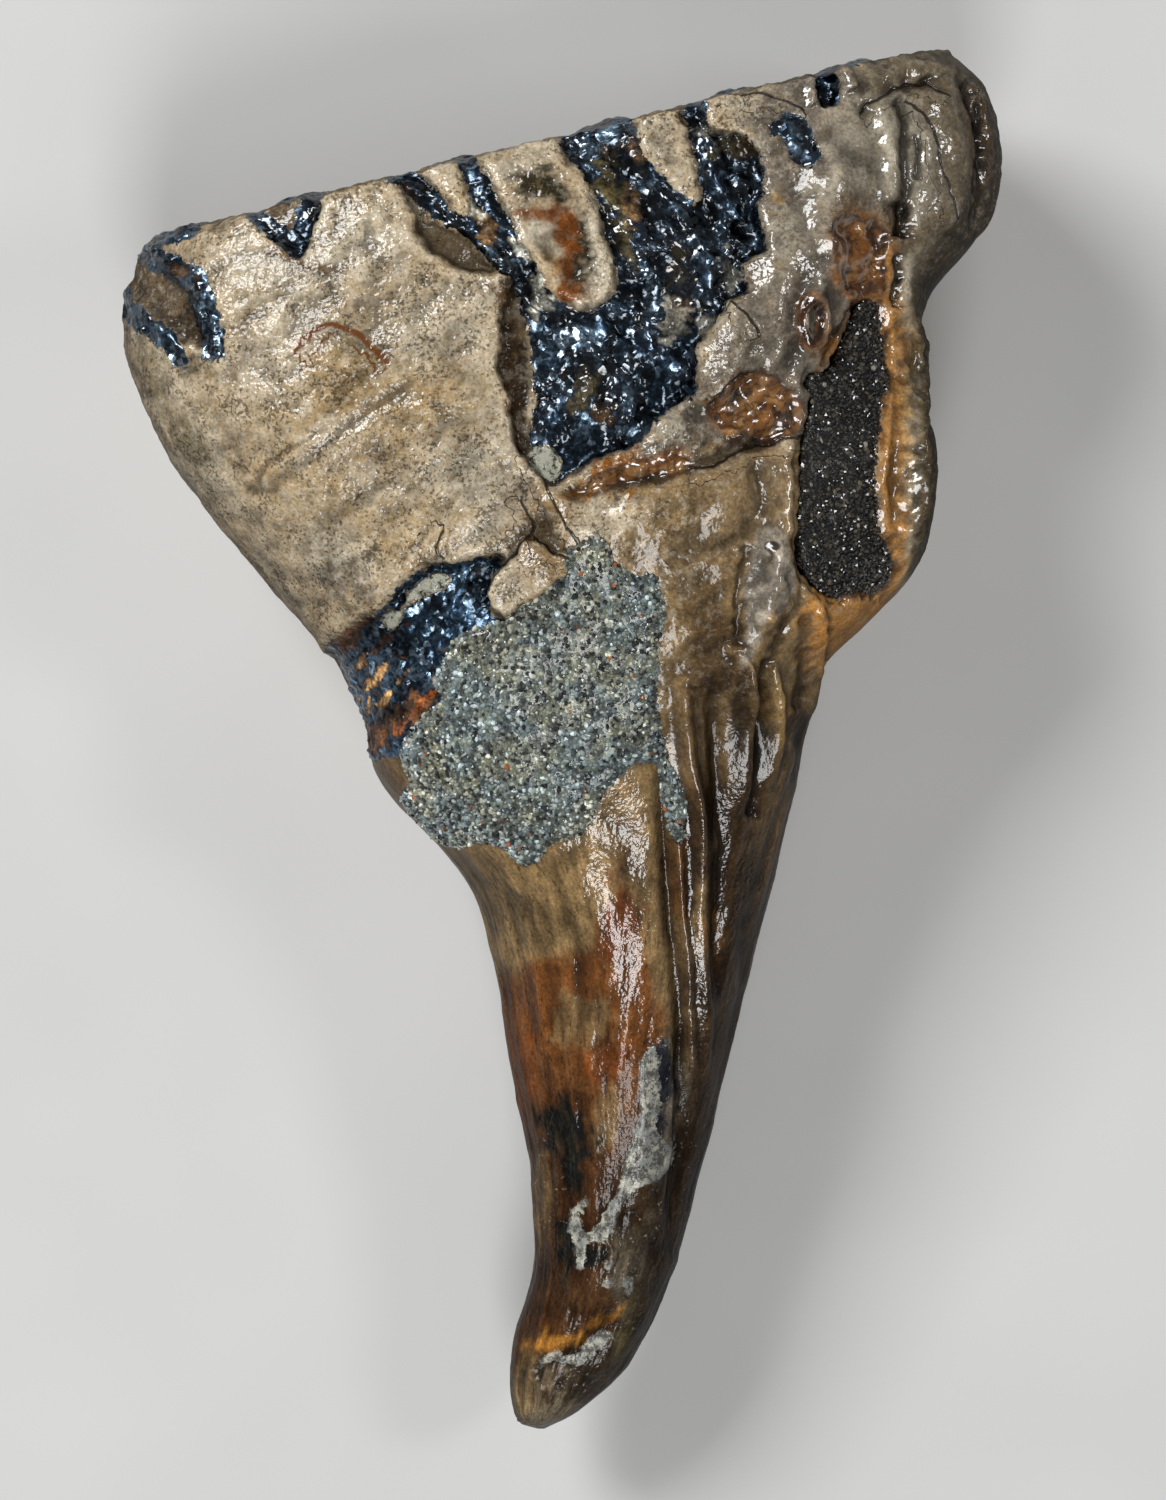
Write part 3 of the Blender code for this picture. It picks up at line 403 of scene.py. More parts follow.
def inside_distance(x, y, outline, reach=4.0):
    """Distance in from a closed outline, below 0 outside it and never under -reach."""
    ring = spline(outline, 4 * len(outline), closed=True)
    ring = np.vstack([ring, ring[:1]])
    result = np.full(x.shape, -reach)
    near = within(x, y, ring, reach)
    px, py = x[near], y[near]
    far = np.abs(segments_distance(px, py, ring)[0])
    odd = np.zeros(px.shape, bool)
    for (ax, ay), (bx, by) in zip(ring[:-1], ring[1:]):
        spans = (ay > py) != (by > py)
        crossing = ax + (py - ay) * (bx - ax) / (by - ay if by != ay else 1e-9)
        odd ^= spans & (px < crossing)
    result[near] = np.where(odd, far, -np.minimum(far, reach))
    return result


def inside_any(x, y, outlines, reach=4.0):
    """Distance in from the edge of whichever outline is nearest."""
    return np.max([inside_distance(x, y, outline, reach) for outline in outlines], axis=0)


def line_relief(x, y, points, height, half_width):
    """A rounded ridge or groove that fades at both its ends."""
    result = np.zeros(x.shape)
    line = spline(points, 5 * len(points))
    near = within(x, y, line, 3 * half_width)
    far, place = segments_distance(x[near], y[near], line)
    ends = smooth(place / 0.14) * smooth((1 - place) / 0.14)
    result[near] = height * ends * np.exp(-((far / half_width) ** 2))
    return result


def line_distance(x, y, points, reach=4.0):
    """Distance from a smooth line, below 0 on its right and never over its reach."""
    line = spline(points, 5 * len(points))
    result = np.full(x.shape, reach)
    near = within(x, y, line, reach)
    result[near] = segments_distance(x[near], y[near], line)[0]
    return result


def ragged(points, size=1.5, amount=0.35):
    """Places moved about a little, so that an edge measured on them is uneven."""
    moved = points[:, :2].copy()
    amount = amount * (1 - 0.85 * smooth((20.0 - points[:, 1]) / 18.0))
    moved[:, 0] += amount * (swell(points, size, 11) + swell(points, 3 * size, 12))
    moved[:, 1] += amount * (swell(points, size, 13) + swell(points, 3 * size, 14))
    return moved.T


def enamel_inside(x, y):
    """Distance in from the edge of the bare enamel on the side that faces up."""
    field = inside_distance(x, y, ENAMEL_FIELD)
    for standing in PALE_TONGUES + (BROWN_POCKET, MATRIX_BIT):
        field = np.minimum(field, -inside_distance(x, y, standing))
    loop_2 = np.minimum(inside_distance(x, y, PLATE_2_LOOP), -inside_distance(x, y, PLATE_2_HEART))
    loop_1 = np.max([half - np.abs(line_distance(x, y, line)) for line, half in PLATE_1_ARMS], axis=0)
    spots = inside_any(x, y, (PLATE_6_BLOB, BLACK_PIT))
    return np.max([field, loop_2, loop_1, spots], axis=0)


def drip_ring(x, y):
    """Places about the drip: 1 on the ring, 0 in its middle."""
    middle_x, middle_y, reach_x, reach_y = DRIP_RING
    return np.hypot((x - middle_x) / reach_x, (y - middle_y) / reach_y)


def up_side_relief(x, y):
    """What stands proud of or is sunk in the side that faces up: windows, steps, ridges and knobs."""
    height = -1.9 * smooth(inside_distance(x, y, BLACK_WINDOW) / 1.2 + 0.5) * smooth((y + 2.0) / 8.0)
    for outlines, high, slope, outside in STEPS:
        height += high * smooth(inside_any(x, y, outlines) / slope + outside)
    ring = drip_ring(x, y)
    height += 0.9 * np.exp(-(((ring - 1.4) / 0.4) ** 2)) - 0.6 * smooth(1.4 - ring)
    uneven = 1 + 0.6 * swell(np.column_stack([x, 0.35 * y, 0 * x]), 5.0, 3)
    height += uneven * sum(line_relief(x, y, *ridge) for _, *ridge in RIDGES)
    for knob_x, knob_y, radius, high in KNOBS:
        height += high * np.exp(-(np.hypot(x - knob_x, y - knob_y) / radius) ** 2)
    return height


def hollows(x, y):
    """The hollows that the sandstone and the dark sand fill."""
    depth = CRUST_HOLLOW * smooth((inside_distance(x, y, CRUST_OUTLINE) - 0.5) / 0.8)
    canal = inside_distance(x, y, CANAL_OUTLINE)
    return depth + FILL_SUNK * smooth(canal / 1.6 + 1.0) + CANAL_HOLLOW * smooth(canal / 1.2)


def down_side_relief(x, y):
    """The buried plates' edges and the root's flutes, on the side that it lies on."""
    height = sum(line_relief(x, y, rib, 1.9, 4.6) for rib in BACK_RIBS)
    height += sum(line_relief(x, y, groove, -2.6, 3.0) for groove in BACK_ROOT_GROOVES)
    height += sum(line_relief(x, y, *ridge) for name, *ridge in RIDGES if name.startswith("fold"))
    return height - 1.0


def away_from_rest(x, y):
    """1 over most of the side that it lies on, falling to 0 where it is worn flat."""
    far = np.hypot((x - RESTING_PLACE[0]) / RESTING_SPREAD[0], (y - RESTING_PLACE[1]) / RESTING_SPREAD[1])
    return smooth((far - 0.7) / 0.5)


def chewing_places(points):
    """Where points lie on the chewing surface: along it from the heel, across it, and how deep under it."""
    heel, front = np.array(SECTIONS[-1][0:2]), np.array(SECTIONS[-1][2:4])
    along = (front - heel) / np.hypot(*(front - heel))
    out = np.array([-along[1], along[0]])
    flat = points[:, :2] - heel
    return flat @ along, points[:, 2] - SECTIONS[-1][4], -flat @ out, out


def chewing_loops(along, across):
    """Distance out from the nearest enamel loop's outer edge, below 0 inside the loop."""
    reach = PLATE_WIDTH_SHARE * SECTIONS[-1][5]
    far = np.full(along.shape, 1e9)
    for place in PLATE_PLACES:
        oval = (np.abs((along - place) / (PLATE / 2)) ** 2.4 + np.abs(across / reach) ** 2.4) ** (1 / 2.4)
        far = np.minimum(far, (oval - 1) * PLATE / 2)
    return far


def half_profile(squareness, count):
    """One half of a rounded section, evenly spaced: places across from -1 to 1, and heights 0 to 1."""
    angle = np.linspace(0, np.pi, 400)
    across = -np.sign(np.cos(angle)) * np.abs(np.cos(angle)) ** (2 / squareness)
    height = np.sin(angle) ** (2 / squareness)
    length = np.concatenate([[0], np.cumsum(np.hypot(np.diff(across) * 1.6, np.diff(height)))])
    even = np.linspace(0, length[-1], count + 1)
    return np.interp(even, length, across), np.interp(even, length, height)


def root_places(x, y, z):
    """Places that follow the root: across it, along it and through it, each in about millimetres."""
    rows = np.array(SECTIONS)
    middle_y = (rows[:, 1] + rows[:, 3]) / 2
    middle_x = np.interp(y, middle_y, (rows[:, 0] + rows[:, 2]) / 2)
    half = np.interp(y, middle_y, (rows[:, 2] - rows[:, 0]) / 2)
    rim = np.interp(y, middle_y, rows[:, 4])
    return np.stack([16 * (x - middle_x) / np.maximum(half, 4.0), y, z - rim], axis=1)


def fine_relief(points, up_share):
    """Small lumps, wrinkles and streaks, different for each kind of surface.

    Each swell or facet has a height, then the size it has in millimetres and the seed of its chances.
    """
    x, y, z = points.T
    rx, ry = ragged(points)
    root = smooth((12.0 - y) / 26.0)
    enamel = smooth(enamel_inside(rx, ry) / 0.7 + 0.2) * (up_share > 0.5)
    black = smooth(inside_distance(rx, ry, BLACK_WINDOW) / 1.0) * (up_share > 0.5)
    cement = (1 - root) * (1 - enamel) * (1 - black) * (1 - 0.6 * smooth((x - 26.0) / 10.0))
    slanted = np.stack([0.82 * x + 0.57 * y, 2.4 * (0.82 * y - 0.57 * x), 1.6 * z], axis=1)
    height = cement * (0.3 * swell(slanted, 7.0, 21) + 0.16 * np.abs(swell(slanted, 3.2, 22)))
    pits = smooth(swell(points, 2.4, 32) * 4 - 1.6)
    height -= cement * (0.12 * np.abs(swell(points, 1.6, 23)) + 0.14 * pits)
    down_plate = np.stack([0.52 * x - 0.85 * y, 1.6 * (0.85 * x + 0.52 * y), z], axis=1)
    height += enamel * (0.6 * swell(down_plate, 6.0, 24) + 0.42 * facets(down_plate, 3.8, 33))
    height += enamel * (0.1 * facets(points, 1.4, 25) + 0.14 * swell(points, 1.6, 26))
    along = root_places(x, y, z)
    height += root * 0.24 * swell(along * (1.0, 0.06, 1.0), 2.6, 27)
    height += root * 0.14 * swell(along * (1.0, 0.08, 1.0), 1.1, 28)
    height += root * (0.05 * swell(points, 1.4, 29) + 0.16 * swell(points, 4.2, 35))
    strip = np.stack([0.74 * x + 0.67 * y, 4 * (0.74 * y - 0.67 * x), z], axis=1)
    height += black * (0.6 * np.abs(swell(strip, 5.0, 30)) + 0.14 * facets(strip * (1, 0.5, 1), 2.0, 31))
    height += black * 0.12 * facets(points, 1.2, 34)
    return height


def bare_rings(rows, half_columns):
    """Rings of the bare form: points, the way out of each, how high it lies, and its ring's half-width."""
    sections = spline(SECTIONS, rows)
    points, ways, up, widths = [], [], [], []
    for section in sections:
        heel, front = section[0:2], section[2:4]
        rim, above, below, squareness = section[4:8]
        across, rise = half_profile(squareness, half_columns)
        across = np.concatenate([across[:-1], across[:0:-1]])
        rise = np.concatenate([rise[:-1], -rise[:0:-1]])
        middle, half = (heel + front) / 2, (front - heel) / 2
        depth = np.where(rise > 0, above, below)
        width = max(np.hypot(*half), 1e-6)
        slope = np.stack([across / width, rise / np.maximum(depth, 1e-6)])
        slope /= np.maximum(np.hypot(*slope), 1e-9)
        flat = middle + np.outer(across, half)
        points.append(np.column_stack([flat, rim + depth * rise]))
        ways.append(np.column_stack([np.outer(slope[0], half / width), slope[1]]))
        up.append(rise)
        widths.append(np.full(len(across), width))
    return np.vstack(points), np.vstack(ways), np.concatenate(up), np.concatenate(widths)


def tooth_surface(rows, half_columns, cap_rows, detailed):
    """Points and faces of the whole tooth, rings first and then the chewing surface's rows."""
    points, ways, rise, width = bare_rings(rows, half_columns)
    x, y = points[:, 0], points[:, 1]
    up_share = smooth(rise / 0.7 + 0.5)
    rx, ry = ragged(points, amount=0.5) if detailed else (x, y)
    height = up_share * up_side_relief(rx, ry) + (1 - up_share) * down_side_relief(x, y)
    height += 0.55 * swell(points, 11.0, 1) + 0.2 * swell(points, 4.5, 2) * smooth((y + 4.0) / 22.0)
    resting = np.where(rise < 0, away_from_rest(x, y), 1.0)
    height *= smooth(width / 8.0) * resting
    lowest = np.min(points[:, 2] + ways[:, 2] * height)
    if detailed:
        height += fine_relief(points, up_share) * smooth(width / 5.0) * resting
        height -= hollows(rx, ry) * (up_share > 0.9)
    points = points + ways * height[:, None]
    ring = 2 * half_columns
    last = points[-ring:]
    top, bottom = last[1:half_columns], last[:half_columns:-1]
    shares = np.arange(1, cap_rows) / cap_rows
    cap = np.vstack([top * (1 - share) + bottom * share for share in shares])
    _, _, _, out = chewing_places(last[:1])
    dome = CHEWING_DOME * np.sin(np.pi * np.repeat(shares, half_columns - 1)) ** 0.5
    cap[:, :2] += dome[:, None] * out
    points = np.vstack([points, cap])
    along, across, depth, out = chewing_places(points)
    loops = chewing_loops(along, across)
    worn = ENAMEL_STANDS * np.exp(-(((loops + ENAMEL / 2) / (ENAMEL * 0.45)) ** 2))
    worn -= DENTINE_WORN * smooth(-loops / ENAMEL - 0.6)
    if detailed:
        worn *= 0.5 + 0.5 * smooth((SECTIONS[-1][5] - np.abs(across)) / 6.0)
        worn += 0.5 * swell(points, 3.0, 41) + 0.3 * swell(points, 1.2, 42)
    worn *= np.exp(-((np.maximum(depth, 0) / CHEWING_ROUNDING) ** 2))
    points[:, :2] += worn[:, None] * out
    points[:, 2] = np.maximum(points[:, 2] - lowest - RESTING_CUT, 0)
    return points, surface_faces(rows, half_columns, cap_rows)


def surface_faces(rows, half_columns, cap_rows):
    """Faces over the rings, the tip and the rows of the chewing surface."""
    ring = 2 * half_columns
    r, k = np.meshgrid(np.arange(rows - 1) * ring, np.arange(ring), indexing="ij")
    k_next = (k + 1) % ring
    faces = np.stack([r + k, r + k_next, r + ring + k_next, r + ring + k], axis=-1).reshape(-1, 4).tolist()
    faces.append(list(range(ring - 1, -1, -1)))
    last = (rows - 1) * ring
    inner = half_columns - 1
    first = last + ring
    lines = [[last + i for i in range(half_columns + 1)]]
    for i in range(cap_rows - 1):
        line = [first + i * inner + j for j in range(inner)]
        lines.append([last] + line + [last + half_columns])
    lines.append([last] + [last + ring - i for i in range(1, half_columns)] + [last + half_columns])
    for upper, lower in zip(lines[:-1], lines[1:]):
        for i in range(half_columns):
            faces.append(list(dict.fromkeys((upper[i], upper[i + 1], lower[i + 1], lower[i]))))
    return faces


def make_object(name, points_mm, faces):
    """A mesh object from points in millimetres, with its faces pointing out."""
    mesh = bpy.data.meshes.new(name)
    mesh.from_pydata((np.asarray(points_mm) * MM).tolist(), [], faces)
    work = bmesh.new()
    work.from_mesh(mesh)
    bmesh.ops.recalc_face_normals(work, faces=work.faces)
    if work.calc_volume(signed=True) < 0:
        bmesh.ops.reverse_faces(work, faces=work.faces)
    bmesh.ops.triangulate(work, faces=work.faces)
    work.to_mesh(mesh)
    work.free()
    mesh.shade_smooth()
    obj = bpy.data.objects.new(name, mesh)
    bpy.context.scene.collection.objects.link(obj)
    return obj


def settled(obj):
    """Puts what the object's modifiers make in place of its mesh, and takes the modifiers off."""
    evaluated = obj.evaluated_get(bpy.context.evaluated_depsgraph_get())
    mesh = bpy.data.meshes.new_from_object(evaluated)
    mesh.name = obj.name
    obj.modifiers.clear()
    obj.data = mesh
    return obj


def mesh_points(obj):
    """An object's points in millimetres."""
    points = np.empty(3 * len(obj.data.vertices), np.float32)
    obj.data.vertices.foreach_get("co", points)
    return points.reshape(-1, 3).astype(float) / MM


def set_attribute(obj, name, values):
    """Stores one number, colour or place for each point of a mesh."""
    kind = {1: "FLOAT", 3: "FLOAT_VECTOR", 4: "FLOAT_COLOR"}[1 if values.ndim == 1 else values.shape[1]]
    field = {"FLOAT": "value", "FLOAT_VECTOR": "vector", "FLOAT_COLOR": "color"}[kind]
    attribute = obj.data.attributes.new(name, kind, "POINT")
    attribute.data.foreach_set(field, np.ascontiguousarray(values, np.float32).ravel())


tooth = make_object("fossil_tooth", *tooth_surface(ROWS, HALF_COLUMNS, CAP_ROWS, detailed=True))
thinning = tooth.modifiers.new("thin flat stretches", "DECIMATE")
thinning.ratio = TOOTH_TRIANGLES / len(tooth.data.polygons)
settled(tooth)


def screen(red, green, blue):
    """A colour from its values on a screen, 0 to 255."""
    value = np.array([red, green, blue]) / 255
    return np.where(value <= 0.04045, value / 12.92, ((value + 0.055) / 1.055) ** 2.4)


TAN = screen(186, 171, 146)
PALE_TAN = screen(198, 187, 164)
OCHRE = screen(160, 129, 78)
OLIVE = screen(92, 82, 50)
BROWN = screen(78, 57, 35)
DARK_BROWN = screen(42, 30, 19)
WALL_BROWN = screen(56, 45, 28)
GREY_TAN = screen(105, 97, 87)
NECK_TAN = screen(130, 106, 72)
KHAKI = screen(138, 112, 74)
KHAKI_LIGHT = screen(138, 113, 74)
RUST = screen(108, 62, 22)
RUST_RED = screen(106, 53, 19)
ROOT_BROWN = screen(50, 34, 18)
ORANGE = screen(192, 130, 52)
WALL_OCHRE = screen(168, 136, 92)
RESIN_BROWN = screen(142, 88, 32)
RESIN_DARK = screen(44, 21, 7)
BURNT_OLIVE = screen(42, 37, 18)
BURNT_ORANGE = screen(122, 66, 16)
METAL_BLUE = screen(34, 49, 63)
AMBER = screen(132, 84, 34)
DEEP_AMBER = screen(64, 32, 14)
CREAM = screen(196, 194, 178)
FOLD_TAN = screen(100, 89, 71)
FOLD_PALE = screen(150, 142, 126)
FOLD_DARK = screen(43, 35, 23)
STREAK_TAN = screen(150, 116, 76)
STREAK_BROWN = screen(70, 46, 28)
NEAR_BLACK = screen(22, 24, 22)
BLOB_GREY = screen(178, 168, 152)
STRIP_BROWN = screen(98, 68, 36)
POCKET_TAN = screen(150, 122, 84)
CHIP_BLUE = screen(54, 68, 72)
NIGHT_BLUE = screen(8, 13, 22)
STEEL = screen(112, 134, 152)
GAP_BLUE = screen(30, 34, 44)
HEART_BROWN = screen(94, 74, 52)
SPECK_OCHRE = screen(150, 122, 74)
SPECK_PALE = screen(208, 198, 178)
DOT_BROWN = screen(62, 50, 36)
CRUMB_BROWN = screen(104, 84, 58)
STREAK_BURNT = screen(34, 22, 12)
CRACK_BROWN = screen(30, 20, 12)
EYE_BROWN = screen(46, 42, 34)
SEAM_BROWN = screen(84, 54, 30)
RESIN_PALE = screen(178, 130, 76)
SMEAR_GREY = screen(136, 138, 134)
SMEAR_DARK = screen(66, 60, 54)
MATRIX_DARK = screen(66, 68, 56)
MATRIX_PALE = screen(214, 213, 194)

CANAL_FRONT_RIM = ((36.0, 22.0), (42.0, 22.0), (44.0, 26.0), (43.0, 36.0), (44.0, 52.0))

# Broad colour of the side that faces up: the colour, its outline, how soft its edge is, and its strength.
ZONES = (
    (GREY_TAN, (
        (27.0, 90.0), (42.0, 92.0), (45.0, 78.0), (46.0, 66.0), (41.0, 60.0), (36.0, 52.0), (33.0, 43.0),
        (18.0, 38.0), (4.0, 36.0), (12.0, 44.0), (19.0, 54.0), (24.0, 64.0),
    ), 2.0, 0.9),
    (FOLD_TAN, (
        (42.0, 98.0), (63.0, 96.0), (63.0, 66.0), (50.0, 60.0), (45.0, 66.0), (43.5, 78.0),
    ), 2.0, 0.95),
    (FOLD_PALE, (
        (42.0, 88.0), (48.0, 89.0), (51.0, 84.0), (51.4, 77.0), (49.6, 72.0), (46.0, 74.0), (43.0, 78.0),
    ), 1.0, 0.7),
    (FOLD_DARK, (
        (56.8, 96.0), (61.5, 92.0), (62.5, 66.0), (52.0, 58.0), (48.8, 63.0), (51.4, 70.0), (55.4, 75.0),
        (56.6, 84.0),
    ), 1.0, 0.8),
    (WALL_BROWN, (
        (49.0, 60.0), (55.0, 52.0), (56.0, 34.0), (48.8, 16.0), (48.4, 32.0), (49.3, 46.0),
    ), 0.6, 0.95),
    (NECK_TAN, (
        (-4.0, 35.5), (8.0, 36.5), (31.0, 42.0), (34.0, 30.0), (33.0, 16.0), (24.0, 4.0), (14.0, 2.0),
        (6.0, 20.0), (-6.0, 26.0),
    ), 2.5, 0.9),
    (KHAKI, (
        (13.0, 20.0), (32.0, 24.0), (44.0, 16.0), (36.0, -2.0), (32.0, -20.0), (28.0, -40.0),
        (-14.0, -40.0), (-24.0, -6.0), (-30.0, 0.0), (10.0, 4.0),
    ), 4.0, 1.0),
    (ROOT_BROWN, (
        (15.0, -6.0), (19.0, 0.0), (22.0, -3.0), (25.6, 9.0), (29.0, 3.0), (33.0, 9.0), (36.0, 0.0),
        (34.0, -18.0), (28.0, -44.0), (24.0, -66.0), (14.0, -88.0), (4.0, -98.0), (8.0, -76.0),
        (15.0, -54.0), (15.0, -22.0),
    ), 4.0, 0.95),
    (RUST, (
        (-14.0, -32.6), (-8.0, -31.6), (-4.0, -29.4), (0.6, -28.6), (4.2, -26.6), (6.0, -21.6),
        (9.0, -19.0), (12.0, -30.0), (14.0, -42.0), (10.0, -56.0), (6.0, -70.0), (8.0, -82.0),
        (-4.0, -86.0), (-10.0, -90.0), (-8.0, -60.0), (-10.0, -40.0),
    ), 1.0, 0.95),
    (WALL_OCHRE, (
        (43.6, 61.0), (47.2, 62.0), (48.2, 54.0), (48.4, 46.0), (47.8, 36.0), (47.4, 26.0), (44.0, 15.0),
        (36.0, 10.0), (31.0, 17.0), *CANAL_FRONT_RIM,
    ), 0.8, 0.95),
    (ORANGE, (
        (43.4, 62.0), (46.4, 61.0), (47.4, 54.0), (47.2, 46.0), (46.6, 36.0), (47.2, 26.0), (43.6, 17.0),
        (36.0, 13.0), (32.0, 18.0), *CANAL_FRONT_RIM,
    ), 0.7, 0.72),
    (DEEP_AMBER, (
        (43.6, 60.0), (44.6, 58.0), (45.2, 51.0), (44.4, 44.0), (43.8, 34.0), (45.6, 27.0), (45.4, 23.0),
        (42.0, 20.8), (36.0, 20.6), (36.0, 22.6), (42.0, 23.0), (44.0, 26.0), (43.0, 36.0), (44.0, 52.0),
    ), 0.35, 0.75),
    (BLOB_GREY, (
        (28.4, 30.2), (30.4, 28.8), (31.4, 25.8), (31.9, 22.2), (30.6, 19.6), (28.8, 18.6), (27.4, 16.4),
        (26.2, 12.4), (24.8, 11.4), (25.2, 16.0), (25.2, 20.6), (25.7, 25.8), (26.8, 29.0),
    ), 0.35, 0.85),
    (POCKET_TAN, BROWN_POCKET, 0.5, 0.7),
    (AMBER, (
        (36.6, 70.6), (38.4, 73.0), (42.6, 72.6), (45.4, 69.6), (45.4, 62.6), (43.0, 60.8), (39.8, 60.6),
        (37.4, 63.4),
    ), 1.2, 0.9),
)

